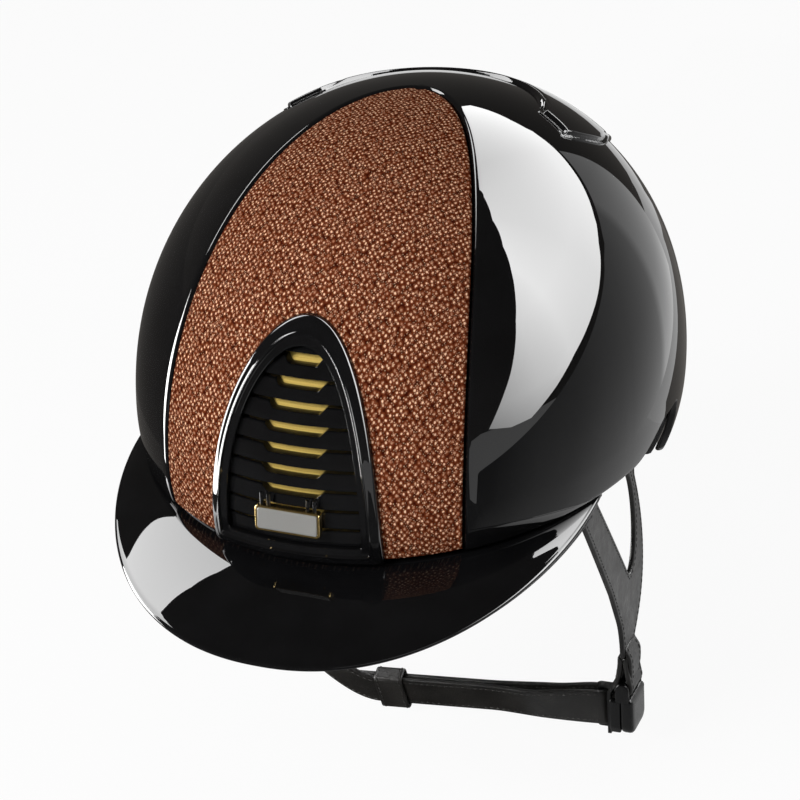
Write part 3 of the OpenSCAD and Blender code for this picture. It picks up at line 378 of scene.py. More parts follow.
def stitches(name, runs, body):
    """A row of sunk thread stitches along each run of (points, normals)."""
    points, faces = [], []
    for path, normal in runs:
        normal = np.broadcast_to(normal, path.shape)
        s = run_of(path)

        def at(k, line):
            return np.array([np.interp(k, s, column) for column in line.T])
        for k in np.arange(STITCH_PITCH / 2, s[-1], STITCH_PITCH):
            c, nrm = at(k, path), unit(at(k, normal))
            t = unit(at(min(k + 0.5, s[-1]), path) - c)
            b = unit(np.cross(t, nrm))
            faces += tube_faces(5, 6, len(points))
            for a in np.linspace(-1, 1, 5):
                r = STITCH_R * math.sqrt(max(0.02, 1 - a * a * 0.96))
                points += [c + t * a * STITCH / 2 + b * r * math.cos(g)
                           + nrm * (r * math.sin(g) + 0.05 * STITCH_R)
                           for g in np.linspace(0, 2 * math.pi, 7)[:-1]]
    return piece(name, points, faces, THREAD, body)


# Materials
class Nodes:
    """A short way to write shader nodes."""

    def __init__(self, tree):
        self.tree = tree

    def add(self, kind, inputs=None, **props):
        node = self.tree.nodes.new("ShaderNode" + kind)
        for key, value in props.items():
            setattr(node, key, value)
        for key, value in (inputs or {}).items():
            self.set(node.inputs[key], value)
        return node

    def set(self, socket, value):
        if isinstance(value, bpy.types.NodeSocket):
            self.tree.links.new(value, socket)
        else:
            socket.default_value = value

    def math(self, operation, a, b=0.0):
        return self.add("Math", {0: a, 1: b}, operation=operation).outputs[0]

    def times(self, a, b):
        return self.math("MULTIPLY", a, b)

    def plus(self, a, b):
        return self.math("ADD", a, b)

    def less(self, a, b):
        return self.math("SUBTRACT", a, b)

    def wave(self, value, k):
        return self.math("SINE", self.times(value, k))

    def range(self, value, a, b, c=0, d=1):
        return self.add("MapRange", {"Value": value, 1: a, 2: b, 3: c, 4: d}).outputs[0]

    def ramp(self, value, *stops):
        node = self.add("ValToRGB", {"Fac": value})
        while len(node.color_ramp.elements) < len(stops):
            node.color_ramp.elements.new(0.5)
        for e, (at, color) in zip(node.color_ramp.elements, stops):
            e.position = at
            e.color = (*color, 1) if isinstance(color, tuple) else (color, color, color, 1)
        return node.outputs["Color"]

    def shades(self, value, base, *stops):
        """Ramp over lighter and darker shades of one colour."""
        return self.ramp(value, *[(at, tuple(v * k for v in base)) for at, k in stops])

    def seen(self):
        """1 for the rays that meet the white background: camera, glossy and transmission."""
        light = self.add("LightPath").outputs
        total = self.plus(self.plus(light["Is Camera Ray"], light["Is Glossy Ray"]),
                          light["Is Transmission Ray"])
        return self.math("MINIMUM", total, 1.0)


class Paint(Nodes):
    """Material with one Principled shader."""

    def __init__(self, name, base, rough, metal=0.0, coat=0.0, coat_rough=0.03, spec=0.5, sheen=0.0):
        self.mat = bpy.data.materials.new(name)
        self.mat.use_nodes = True
        super().__init__(self.mat.node_tree)
        self.bsdf = self.tree.nodes["Principled BSDF"]
        for key, value in (("Base Color", (*base, 1)), ("Roughness", rough), ("Metallic", metal),
                           ("Coat Weight", coat), ("Coat Roughness", coat_rough),
                           ("Specular IOR Level", spec), ("Sheen Weight", sheen)):
            self.bsdf.inputs[key].default_value = value

    def where(self, kind="Object"):
        return self.add("TexCoord").outputs[kind]

    def noise(self, scale, detail=2.0, rough=0.5, vector=None):
        return self.add("TexNoise", {"Vector": vector or self.where(), "Scale": scale, "Detail": detail,
                                     "Roughness": rough}).outputs["Fac"]

    def voronoi(self, vector, scale, share, **props):
        return self.add("TexVoronoi", {"Vector": vector, "Scale": scale, "Randomness": share},
                        **props).outputs

    def bump(self, height, distance, strength):
        return self.add("Bump", {"Height": height, "Distance": distance, "Strength": strength}).outputs[0]

    def link(self, **sockets):
        for key, value in sockets.items():
            self.set(self.bsdf.inputs[key.replace("_", " ")], value)
        return self.mat


def gloss(name, base=(0.003, 0.003, 0.0033), coat_rough=0.012):
    """Black paint under clear lacquer: only the lacquer reflects."""
    m = Paint(name, base, 0.5, coat=1.0, coat_rough=coat_rough, spec=0.0)
    return m.link(Base_Color=m.shades(m.noise(60, 4), base, (0.35, 1), (0.7, 1.5)),
                  Coat_Normal=m.bump(m.noise(140, 1), 0.000003, 0.3))


def metal(name, base, rough, brushed=False, share=1.0):
    m = Paint(name, base, rough, metal=share)
    if brushed:
        along = m.add("Mapping", {"Vector": m.where(), "Scale": (60, 3000, 3000)})
        lines = m.noise(1, 3, vector=along.outputs[0])
    else:
        lines = m.noise(900, 3)
    return m.link(Roughness=m.range(lines, 0.3, 0.7, rough * 0.75, rough * 1.3),
                  Normal=m.bump(lines, 0.00002, 0.3))


def leather(name, base, rough):
    m = Paint(name, base, rough)
    grain = m.voronoi(m.where(), 1500, 1, feature="SMOOTH_F1")["Distance"]
    crease = m.noise(160, 5, 0.65)
    height = m.plus(m.times(grain, 0.5), m.times(crease, 1.6))
    return m.link(Base_Color=m.shades(m.noise(70, 3), base, (0.35, 0.6), (0.7, 2.0)),
                  Roughness=m.range(crease, 0.3, 0.7, rough + 0.08, rough - 0.1),
                  Normal=m.bump(height, 0.00022, 0.7))


def textile(name, base, pitch, knit=0.5):
    """Knitted or woven cloth: a fine rib in two directions, its colour darker in the rib's hollows as painted
    shade.
    """
    m = Paint(name, base, 0.9, spec=0.25, sheen=0.35)
    k = 2 * math.pi / (pitch * MM)
    axes = m.add("SeparateXYZ", {0: m.where()}).outputs
    weave = m.times(m.wave(m.plus(axes[0], axes[1]), k), m.wave(m.less(axes[2], m.times(axes[1], 0.3)), k))
    height = m.plus(weave, m.times(m.noise(2500, 3), 1.2))
    # Colour follows the rib's height: painted shade in the hollows, lighter on the crests.
    return m.link(Base_Color=m.shades(m.range(weave, -1, 1), base, (0.2, 0.55), (0.8, 1.35)),
                  Normal=m.bump(height, 0.00024 * knit, 0.8))


def glitter_fabric():
    """Copper lurex weave: staggered rows of knots lit by painted glints, on red-brown thread that darkens
    with painted shade into the gaps between them.
    """
    pitch_u, pitch_v = 2.32, 3.1
    m = Paint("copper_fabric", (0.24, 0.076, 0.034), 0.45, spec=0.0)
    uv = m.where("UV")
    drift = m.add("TexNoise", {"Vector": uv, "Scale": 0.35, "Detail": 3, "Roughness": 0.6})
    drift = m.add("VectorMath", {0: drift.outputs["Color"], 1: (0.5, 0.5, 0.5)}, operation="SUBTRACT")
    moved = m.add("VectorMath", {0: uv, 1: drift.outputs[0]}, operation="ADD")
    axes = m.add("SeparateXYZ", {0: moved.outputs[0]}).outputs
    across, along = m.math("DIVIDE", axes[0], pitch_u), m.math("DIVIDE", axes[1], pitch_v)
    lattice = m.add("CombineXYZ", {0: m.plus(across, along), 1: m.less(across, along)}).outputs[0]
    cell = m.voronoi(lattice, 1, 0.52, voronoi_dimensions="2D")
    fleck = m.voronoi(lattice, 2.3, 0.9, voronoi_dimensions="2D")
    share, fleck_share = (m.add("SeparateColor", {0: v["Color"]}).outputs for v in (cell, fleck))
    # Knots and finer flecks get painted glints: bright base colour stands in for the metal thread's
    # reflections.
    knot = m.times(m.range(cell["Distance"], 0.26, 0.14), m.range(share[0], 0.05, 0.8, 0.2, 1))
    small = m.times(m.range(fleck["Distance"], 0.34, 0.08), m.range(fleck_share[1], 0.35, 1, 0, 0.7))
    painted_glint = m.math("MAXIMUM", knot, small)
    # The thread darkens into the gaps, where the bump is lowest: red-brown thread colour with painted shade
    # in the gaps.
    thread = m.range(cell["Distance"], 0.72, 0.25)
    fibre = m.noise(3.2, 3, 0.7, uv)
    cloth = m.ramp(m.times(thread, m.range(fibre, 0.3, 0.65, 0.35, 1.15)),
                   (0.0, (0.035, 0.005, 0.0018)), (0.45, (0.11, 0.022, 0.008)), (1.0, (0.24, 0.058, 0.02)))
    bright = m.add("Mix", {0: m.times(painted_glint, m.range(fibre, 0.3, 0.6, 0.5, 1)), 6: cloth,
                           7: (1.0, 0.7, 0.46, 1)}, data_type="RGBA").outputs[2]
    height = m.plus(m.times(m.less(1, cell["Distance"]), 1.2), m.times(fibre, 0.6))
    return m.link(Base_Color=bright, Roughness=m.range(painted_glint, 0, 1, 0.5, 0.25),
                  Normal=m.bump(height, 0.0002, 0.3))


def gold_mesh():
    """Fine expanded-metal mesh, with painted shade where its holes dip."""
    m = Paint("gold_mesh", (0.95, 0.7, 0.25), 0.4, spec=0.15)
    k = 2 * math.pi / (1.1 * MM)
    axes = m.add("SeparateXYZ", {0: m.where()}).outputs
    slant = m.times(axes[2], 0.6)
    holes = m.times(m.wave(m.plus(axes[0], slant), k), m.wave(m.less(axes[0], slant), k))
    # Darker gold where the hole pattern dips: painted shade in the holes.
    tone = m.ramp(m.range(holes, -1, 1), (0.1, (0.5, 0.33, 0.08)), (0.4, (0.63, 0.46, 0.12)))
    return m.link(Base_Color=tone, Normal=m.bump(holes, 0.00006, 0.3))


def foam_beads():
    m = Paint("foam_beads", (0.02, 0.02, 0.021), 0.8, spec=0.3)
    bead = m.voronoi(m.where(), 330, 1)["Distance"]
    # Darker between the beads, where the bump sinks: painted shade in the crevices.
    return m.link(Base_Color=m.ramp(bead, (0.1, (0.03, 0.03, 0.032)), (0.6, (0.01, 0.01, 0.01))),
                  Normal=m.bump(bead, -0.0005, 0.8))


def rubber(name, base, rough):
    m = Paint(name, base, rough, spec=0.4)
    return m.link(Roughness=m.range(m.noise(300, 3), 0.3, 0.7, rough - 0.08, rough + 0.08),
                  Normal=m.bump(m.noise(1800, 2), 0.00005, 0.5))


GLOSS = gloss("gloss_black")
TRIM = gloss("gloss_black_trim", (0.0035, 0.0035, 0.0038), 0.02)
FABRIC = glitter_fabric()
GOLD = metal("polished_gold", (0.83, 0.6, 0.24), 0.16)
GOLD_MESH = gold_mesh()
SILVER = metal("brushed_silver", (0.33, 0.325, 0.31), 0.35, brushed=True, share=0.3)
STEEL = metal("satin_steel", (0.42, 0.42, 0.43), 0.3)
DARK_STEEL = metal("blackened_steel", (0.05, 0.05, 0.052), 0.3)
PLASTIC = rubber("black_plastic", (0.012, 0.012, 0.013), 0.42)
SATIN = rubber("satin_buckle", (0.004, 0.004, 0.0044), 0.2)
BAND = rubber("rim_rubber", (0.014, 0.014, 0.015), 0.6)
LEATHER = leather("strap_leather", (0.0094, 0.0087, 0.0078), 0.4)
THREAD = rubber("grey_thread", (0.03, 0.029, 0.027), 0.7)
FOAM = foam_beads()
KNIT = textile("liner_knit", (0.022, 0.022, 0.024), 1.2)
PAD = textile("pad_mesh", (0.03, 0.03, 0.033), 1.7, knit=0.8)
LINING = textile("visor_cloth", (0.016, 0.016, 0.017), 0.9)


# Camera
def aim(obj, place, target):
    obj.location = place
    obj.rotation_euler = (Vector(target) - Vector(place)).to_track_quat("-Z", "Y").to_euler()


camera = add_object("camera", bpy.data.cameras.new("camera"))
camera.data.lens = 96.3
camera.data.sensor_width = 36
camera.data.clip_start, camera.data.clip_end = 0.05, 30
aim(camera, (0.25733, -0.75736, 0.36498), (0.00071, -0.01827, 0.0086))
bpy.context.scene.camera = camera


# Outer shell
LIP_R = 1.5


def shell_columns():
    """Columns round the dome: front tray, rounded lip, then the sides; each is (kind, value, depth)."""
    lip = [(LIP_R * (1 - math.cos(a)), LIP_R * (1 - math.sin(a))) for a in np.radians([22, 45, 68, 90])]
    side = np.r_[np.linspace(0.012, 0.25, 34), np.linspace(0.26, 0.47, 56)[1:], np.linspace(0.48, 1, 70)[1:]]
    return ([("tray", t, RECESS) for t in np.linspace(0, 1, 30)]
            + [("edge", *step) for step in [(0.05, RECESS - 0.3), (0.05, LIP_R)] + lip]
            + [("side", t, 0.0) for t in side])


def shell_phi(kind, value, c):
    edge = insert_phi(c)
    if kind == "tray":
        return value * edge
    off = value if kind == "edge" else LIP_R
    start = edge + np.degrees(off / (SHELL_W / 2 * np.maximum(c, 0.02)))
    return start if kind == "edge" else mix(start, 180, value)


def build_shell():
    outer_psi = np.r_[np.linspace(90, 60, 26), np.linspace(60, 0, 44)[1:]]
    inner_psi = np.linspace(0, 60, 12)[1:]
    low, back = np.linspace(0, 1, 16)[1:], np.linspace(1, 0, 8)[1:]
    turn = np.radians(np.linspace(0, 180, 9))[1:]
    grid, half = [], shell_columns()
    for sign, cols in ((1, half), (-1, half[-2:0:-1])):
        for kind, value, depth in cols:
            wall = TRAY_T if kind == "tray" else SHELL_T - depth if depth < 2 else TRAY_IN - depth
            r = wall / 2
            foot = rim_z(shell_phi(kind, value, 1.0)) + r - WIDEST_Z
            h = np.r_[foot * low, foot - r * np.sin(turn), foot * back]
            d = np.r_[depth + 0 * low, depth + r * (1 - np.cos(turn)), depth + wall + 0 * back]
            (c_out, h_out), (c_in, h_in) = rise(outer_psi, depth), rise(inner_psi, depth + wall)
            c, h = np.r_[c_out, level(h, d), c_in], np.r_[h_out, h, h_in]
            d = np.r_[depth + 0 * c_out, d, depth + wall + 0 * c_in]
            grid.append(on_level(sign * shell_phi(kind, value, c), c, h, d))
    grid = np.array(grid)
    mid = cells(np.concatenate([grid, grid[:1]]))
    keep = ~(in_window(mid, FRONT_GRILLE) | in_window(mid, REAR_GRILLE))
    piece("shell", grid, grid_faces(*grid.shape[:2], loop_u=True, keep=keep), GLOSS, "helmet", "outer_shell")


build_shell()


# Front insert
INSERT_GAP, INSERT_R = 0.9, 1.3
CLOTH_W, CLOTH_H = 118, 130


def build_insert():
    ts = np.linspace(0, 1, 52)
    cols = [(t, 0.0, FABRIC_OUT) for t in ts[:-1]]
    cols += [(1, INSERT_R * math.cos(g) - INSERT_R, FABRIC_OUT + INSERT_R * (1 - math.sin(g)))
             for g in np.radians(np.linspace(90, 0, 6))]
    cols += [(1, 0.0, RECESS)]
    psi = np.r_[0, np.linspace(0, 84, 90)[1:], 86, 87.3, 88.2, 88.8, 89.2, 89.4]
    turn = np.radians(np.linspace(0, 90, 5))
    grid = []
    for sign in (-1, 1):
        for t, inward_by, depth in (cols[::-1] if sign < 0 else cols[1:]):
            foot = rim_z(insert_phi(1.0) * t) + 1.2 - WIDEST_Z
            wall = np.linspace(foot + INSERT_R, 0, 14)[1:-1]
            h_low = np.r_[foot, foot + INSERT_R * (1 - np.cos(turn)), wall]
            d_low = np.r_[RECESS, np.maximum(depth, FABRIC_OUT + INSERT_R * (1 - np.sin(turn))),
                          depth + 0 * wall]
            d_up = np.full(len(psi), depth)
            d_up[-3:] = np.maximum(d_up[-3:], (FABRIC_OUT + 0.1, FABRIC_OUT + 0.6, RECESS))
            c_up, h_up = rise(psi, d_up)
            c, h = np.r_[level(h_low, d_low), c_up], np.r_[h_low, h_up]
            edge = insert_phi(c)
            back = np.minimum(np.degrees(1 / (SHELL_W / 2 * c)), edge * 0.2)
            rim, inner = edge - (INSERT_GAP - inward_by) * back, edge - (INSERT_GAP + INSERT_R) * back
            phi = rim if t > 0.99 else inner * t / ts[-2]
            grid.append(on_level(sign * phi, c, h, np.r_[d_low, d_up]))
    grid = np.array(grid)
    x, y, z = np.moveaxis(grid, -1, 0)
    uv = np.stack([CLOTH_W * np.arcsin(np.clip(x / CLOTH_W, -1, 1)),
                   CLOTH_H * np.arctan2(z - WIDEST_Z, 8 - y)], -1)
    faces = grid_faces(*grid.shape[:2], keep=~in_window(cells(grid), FRONT_GRILLE))
    piece("front_insert", grid, faces, FABRIC, "helmet", "front_insert_fabric front_insert_carrier", uv)


build_insert()

# Grilles
BEAD = [(0, 0.4), (0, -1.5), (0.03, -2.1), (0.09, -2.45), (0.2, -2.6), (0.36, -2.68), (0.44, -2.78),
        (0.485, -3.15), (0.535, -3.15), (0.58, -2.65), (0.63, -2.2), (0.72, -1.95), (0.86, -1.8),
        (0.93, -1.7), (0.97, -1.45), (1, -0.8), (1, 1.5), (1, BEZEL_DEPTH)]
BLADE_OUT, BLADE_TOP_OUT, BLADE_IN, BLADE_R = 0.4, 1.2, 5.2, 0.42
NOTCH_W, NOTCH_SLOPE = 9.2, 2.4


def arch_loop(w, h, foot):
    a = np.radians(np.linspace(0, 180, 260))
    arch = np.stack([w * np.cos(a), foot + h * np.abs(np.sin(a)) ** (2 / ARCH_POWER)], 1)
    base = np.stack([np.linspace(-w, w, 74)[1:-1], np.full(72, foot)], 1)
    return np.vstack([even(arch, 260), base])


def opening(grille):
    """Half width, height and foot of the arch inside a grille's bezel."""
    w, h, foot = grille[:3]
    return w - BEZEL_W, h - 2 * BEZEL_W - TOP_EXTRA, foot + BEZEL_W


def grille_frame(name, grille):
    outer, inner = soften(arch_loop(*grille[:3]), 1.5), soften(arch_loop(*opening(grille)), 1.1)
    profile = curve(BEAD, 84)
    p = mix(outer[:, None], inner[:, None], profile[:, :1])
    grid = on_face(p[..., 0], p[..., 1], profile[:, 1], grille[3])
    faces = grid_faces(*grid.shape[:2], loop_u=True)
    piece(name + "_frame_trim", grid, faces, TRIM, "helmet", name + "_frame")


def rounded_quad(corners, r):
    """Closed loop round four corners with radius r."""
    out = []
    corners = np.array(corners)
    for p, a, b in zip(corners, np.roll(corners, 1, 0), np.roll(corners, -1, 0)):
        u, v = unit(a - p), unit(b - p)
        s, e = p + u * r, p + v * r
        out += [mix(mix(s, p, t), mix(p, e, t), t) for t in np.linspace(0, 1, 5)]
        out += [mix(e, b - v * r, t) for t in (0.33, 0.67)]
    return np.array(out)


def grille_louvres(name, grille):
    """Notched blades, and one more that fills the top of the arch."""
    side, count = grille[3:]
    w, h, foot = opening(grille)
    points, faces = [], []

    def blade(rows):
        rows = np.array([on_face(x, foot + z, d, side) for x, z, d in rows])
        faces.extend(grid_faces(*rows.shape[:2], loop_v=True, start=len(points)))
        points.extend(rows.reshape(-1, 3))
    for k in range(count):
        z0 = k * LOUVRE_PITCH
        reach, low = arch_x(w, h, z0 + LOUVRE_H) + 0.3, arch_x(w, h, z0 + 0.6) + 0.3
        low = max(reach, low)
        notch = min(NOTCH_W, reach * 0.45)
        slope = notch + NOTCH_SLOPE
        left_half = np.r_[np.linspace(-1, -slope / reach, 12)[:-1],
                          np.linspace(-(slope + 0.5) / reach, (0.5 - notch) / reach, 9)]
        xs = np.sort(np.r_[left_half, np.linspace(-notch / reach, notch / reach, 16)[1:-1], -left_half])
        top = LOUVRE_H - NOTCH_H * (1 - np.clip((np.abs(xs) * reach - notch) / NOTCH_SLOPE, 0, 1))
        smooth = np.convolve(np.r_[top[0], top, top[-1]], [0.25, 0.5, 0.25], "valid")
        loops = [rounded_quad([(0, BLADE_OUT), (t, BLADE_TOP_OUT), (t, BLADE_IN), (0.6, BLADE_IN)], BLADE_R)
                 for t in smooth]
        blade([(x * mix(low, reach, loop[:, 0] / LOUVRE_H), z0 + loop[:, 0], loop[:, 1])
               for x, loop in zip(xs, loops)])
    low = count * LOUVRE_PITCH + 0.1
    rows = []
    for x in arch_x(w, h, low) * np.linspace(-1, 1, 41):
        high = max(low + 1, h * (1 - (x / w) ** 2) ** (1 / ARCH_POWER) + 0.2)
        loop = rounded_quad([(low, 0.8), (high, BLADE_TOP_OUT), (high, BLADE_IN), (low + 0.3, BLADE_IN)], 0.3)
        rows.append((x, *loop.T))
    blade(rows)
    piece(name + "_blades", points, faces, TRIM, "helmet", name + "_louvres")


def grille_mesh(name, grille, lap=0.9):
    w, h, foot = opening(grille)
    up = (h + lap) * 0.985 * (1 - (1 - np.linspace(0, 1, 50)) ** 1.6)
    x = np.linspace(-1, 1, 40)[:, None] * arch_x(w + lap, h + lap, up)
    front, back = (on_face(x, foot - lap + up, BEZEL_DEPTH + d, grille[3]) for d in (0.1, 0.8))
    pillow(name + "_wire", front, back, GOLD_MESH, "helmet", name + "_mesh")


for label, grille in (("front_grille", FRONT_GRILLE), ("rear_grille", REAR_GRILLE)):
    grille_frame(label, grille)
    grille_louvres(label, grille)
    grille_mesh(label, grille)

# Badge
BADGE_W, BADGE_H, BADGE_Z, BADGE_T, PLATE_T, BADGE_R, BADGE_EDGE = 24.5, 10, 12.6, 3, 1.2, 1.4, 0.9


def build_badge():
    y0 = on_face(0, BADGE_Z, 0, -1)[1] - 0.2
    outer, inner, face = (rounded_outline(BADGE_W - off, BADGE_H - off, r) for off, r in (
        (0, BADGE_R), (2 * BADGE_EDGE, BADGE_R - 0.5), (2 * BADGE_EDGE + 0.1, BADGE_R - 0.5)))
    rim = curve([(0, 0), (0, 2.4), (0.12, 2.85), (0.5, 3), (0.88, 2.9), (1, 2.65), (1, 1.8)], 30)
    p = mix(outer[:, None], inner[:, None], rim[:, :1])
    grid = np.stack([p[..., 0], y0 - np.broadcast_to(rim[:, 1], p.shape[:2]), BADGE_Z + p[..., 1]], -1)
    n, m = grid.shape[:2]
    faces = grid_faces(n, m, loop_u=True) + [list(range(0, n * m, m))]
    piece("badge_surround", grid, faces, GOLD, "helmet", "badge_rim")
    plate_y = y0 - (BADGE_T - PLATE_T / 2 + 0.1)
    plate("badge_face", face, PLATE_T, lambda u, v, w: np.stack([u, plate_y - w, BADGE_Z + v], -1),
          SILVER, "helmet", "badge_plate", r=0.25)


build_badge()


# Visor
def visor_edge(phi):
    th = np.radians(phi / VISOR_END * 90)
    co = np.abs(np.cos(th))
    return np.stack([VISOR_W * spw(np.sin(th), 0.915), -VISOR_END_Y - VISOR_LEN * co ** 1.068,
                     VISOR_END_Z + (VISOR_TIP_Z - VISOR_END_Z) * co ** 1.274], -1)


def visor_at(phi, t, depth=FLANGE_OUT, drop=0.0):
    """Point of the visor from the shell (t 0) to its edge (t 1), a drop below its upper face."""
    t = np.asarray(t)
    bulge = VISOR_BULGE * 4 * t * (1 - t) * np.abs(np.cos(np.radians(phi / VISOR_END * 90))) ** 0.3
    p = mix(by_height(phi, rim_z(phi) - 0.4, depth), visor_edge(phi), t[..., None])
    return p + (bulge - drop)[..., None] * np.array([0, 0, 1])


def build_visor():
    inner = FLANGE_OUT + FLANGE_T
    turn = np.radians(np.linspace(90, -90, 11))[1:-1, None]
    rows = []
    for phi in VISOR_END * spw(np.linspace(-1, 1, 241), 0.95):
        out = visor_edge(phi) - by_height(phi, rim_z(phi), FLANGE_OUT)
        reach = np.linalg.norm(out[:2])
        r = min(VISOR_T / 2, reach * 0.4)
        out = unit(np.array([out[0], out[1], 0]) + 1e-9)
        last = 1 - r / max(reach, 2 * r)
        top = visor_at(np.full(30, phi), np.linspace(0, 1, 30) * last)
        under = visor_at(np.full(24, phi), np.linspace(last, 0, 24), inner, VISOR_T)
        mid, half = (top[-1] + under[0]) / 2, (top[-1] - under[0]) / 2
        flange = rim_z(phi) - 0.3 + FLANGE_H * (1 - ease(52, 62, abs(phi)))
        back = by_height(phi, flange, np.array([inner, FLANGE_OUT]))
        rows.append(np.concatenate([top, mid + np.cos(turn) * out * r + np.sin(turn) * half, under, back]))
    grid = np.array(rows)
    piece("visor_shell", grid, tube_faces(*grid.shape[:2]), GLOSS, "helmet", "visor")
    phi, t = np.linspace(-0.93, 0.93, 120) * VISOR_END, np.linspace(0.95, 0.05, 24)
    phi, t = np.meshgrid(phi, t, indexing="ij")
    top, bottom = (visor_at(phi, t, inner, VISOR_T + d) for d in (0.15, 1.05))
    pillow("visor_cloth", top, bottom, LINING, "helmet", "visor_lining", fringe(120, 24, 2))


build_visor()


# Crown cover
def cover_top(s):
    return 66.5 - 6.5 * ease(0.88, 1, s)


def cover_foot(s):
    a = 180 - (180 - COVER_START) * s
    return 27 + 32 * s ** 1.5 + 2.6 * ease(108, 124, a) * (1 - ease(132, 165, a))


def nearest(points, line):
    """Distance from each point of a grid to a line of points."""
    start, step = line[:-1], np.diff(line, axis=0)
    length = (step ** 2).sum(-1)
    flat = points.reshape(-1, 1, 3)
    parts = []
    for k in range(0, len(flat), 500):
        away = flat[k:k + 500] - start
        share = np.clip((away * step).sum(-1) / length, 0, 1)
        parts.append(np.linalg.norm(away - share[..., None] * step, axis=-1).min(1))
    return np.concatenate(parts).reshape(points.shape[:-1])


def hump(v):
    """Quarter circle from 0 to 1."""
    return np.sqrt(1 - (1 - np.clip(v, 0, 1)) ** 2)


def build_cover():
    """Round edge at the back; in front of it a rim, a narrow recess and the body behind."""
    u = spw(np.linspace(-1, 1, 401), 0.8)
    phi, s = 180 + (180 - COVER_START) * u, np.abs(u)
    v = np.r_[np.linspace(0, 0.2, 26), np.linspace(0.225, 0.775, 22), np.linspace(0.8, 1, 26)]
    psi = mix(cover_foot(s)[:, None], cover_top(s)[:, None], v)
    flat = by_angle(phi[:, None], psi, 0.0)
    outline = np.concatenate([flat[:, 0], flat[-1], flat[::-1, -1], flat[0, ::-1]])
    near = nearest(flat, even(outline, 900))
    rim = 0.34 * np.sqrt(1 - np.clip((near - 0.35) / 0.35, -1, 1) ** 2)
    low = np.maximum(np.maximum(rim, hump((near - 2.3) / 0.9)), 0.07 * np.minimum(near / 0.3, 1))
    front_share = (1 - ease(107, 120, 180 - np.abs(180 - phi)))[:, None]
    f = mix(hump(near / 1.4), low, front_share)
    lip = 0.35 * np.exp(-((near - 3.2) / 0.7) ** 2) * (1 - front_share)
    top = by_angle(phi[:, None], psi, mix(0.2, COVER_OUT, f) + lip)
    bottom = by_angle(phi[:, None], psi, 0.2 + 0 * f)
    pillow("crown_cover_skin", top, bottom, GLOSS, "helmet", "crown_cover")


def build_slats():
    """Low ribbed strips in the two mouths behind the cover's front rim."""
    start, stop = 103, 118
    a = np.linspace(start, stop, 91)[:, None]
    psi = cover_foot((180 - a) / (180 - COVER_START)) + np.linspace(0.4, 1.1, 9)
    ribs = 0.15 + 0.2 * np.cos(np.radians(a * 120)) ** 2
    ends = np.minimum(1, np.minimum(a - start, stop - a) / 1.5)
    points = [by_angle(side * a, psi, d) for side in (1, -1) for d in (-ribs * ends, 0.1)]
    faces = two_sides(*psi.shape) + two_sides(*psi.shape, start=2 * psi.size)
    piece("crown_vent_slats", points, faces, PLASTIC, "helmet", "crown_vent_grilles")


build_cover()
build_slats()


# Rings inside the shell
def ring_phis(n=300):
    """Angles round the rim, denser at the ear notches."""
    extra = np.arange(72, 100, 0.5)
    return np.unique(np.round(np.r_[np.linspace(-180, 180, n, endpoint=False), extra, -extra], 3))


def build_band():
    phi = ring_phis()
    p = np.abs(phi)
    v = np.array([0, 0.12, 0.35, 0.65, 0.9, 1.0])
    depth = BEHIND_FLANGE + np.select([(p < 56) | (p > 114), p < 80, p < 96.6], [2.4, 1, 1.4], -0.4)
    depth = np.convolve(np.r_[depth[-3:], depth, depth[:3]], np.ones(7) / 7, "valid")

    def place(k):
        aside = np.sign(phi) * 2 * ease(91, 93, p) * (1 - ease(95.5, 97, p))
        return phi + aside * k, rim_z(phi) - 0.8 + 3 * k

    def farther(k):
        a, b = by_height(*place(k), depth), by_height(*place(k), BOWL_OUT - 1.5, True)
        far = np.linalg.norm(a[:, :2], axis=1) > np.linalg.norm(b[:, :2], axis=1)
        return np.where(far[:, None], a, b)
    outer = np.stack([by_height(*place(k), np.where(p < 68, BEHIND_FLANGE, FOAM_OUT + 0.1)) for k in v], 1)
    inner = np.stack([farther(k) for k in v[::-1]], 1)
    belly = np.stack([mix(inner[:, -1], outer[:, 0], t) - np.array([0, 0, 0.9]) * math.sin(math.pi * t) ** 0.7
                      for t in np.linspace(0, 1, 6)[1:-1]], 1)
    grid = np.concatenate([outer, inner, belly], 1)
    piece("edge_band", grid, grid_faces(*grid.shape[:2], True, True), BAND, "helmet", "rim_band")


def bowl_like(name, foot, top_d, in_d, material, body, node, edge_drop):
    """Bowl between two depths, with a rounded foot."""
    phi = ring_phis(200)
    low, psi = np.linspace(1, 0, 12), np.linspace(0, 90, 40)[1:]
    grid = []
    for p, z0 in zip(phi, foot(phi)):
        walls = []
        for d in (top_d, in_d):
            c, h = rise(psi, d)
            walls.append(on_level(p, np.r_[np.ones(12), c], np.r_[(z0 - WIDEST_Z) * low, h], d))
        out, back = walls[0][::-1], walls[1]
        turn = mix(out[-1:], back[:1], 0.5) - np.array([0, 0, edge_drop])
        grid.append(np.concatenate([out, mix(out[-1:], turn, 0.6), turn, mix(back[:1], turn, 0.6), back]))
    grid = np.array(grid)
    piece(name, grid, grid_faces(*grid.shape[:2], loop_u=True), material, body, node)


def foam_foot(phi):
    p = np.abs(phi)
    base = np.where((p > 82) & (p < 99), rim_z(NOTCH_TOP) + 3, np.where((p > 58) & (p < 113), 10.5, -99))
    return np.maximum(rim_z(phi) + 2.8, base)


def liner_foot(phi):
    p = np.abs(phi)
    return np.maximum(rim_z(phi) + 1.5, np.where((p > 60) & (p < 113), 3, -99))


build_band()
bowl_like("foam_body", foam_foot, BEHIND_FLANGE + 0.2, FOAM_IN, FOAM, "helmet", "foam_liner", 0.3)
bowl_like("liner_knit_bowl", liner_foot, BOWL_OUT, BOWL_IN, KNIT, "liner", "liner_bowl", 0.9)


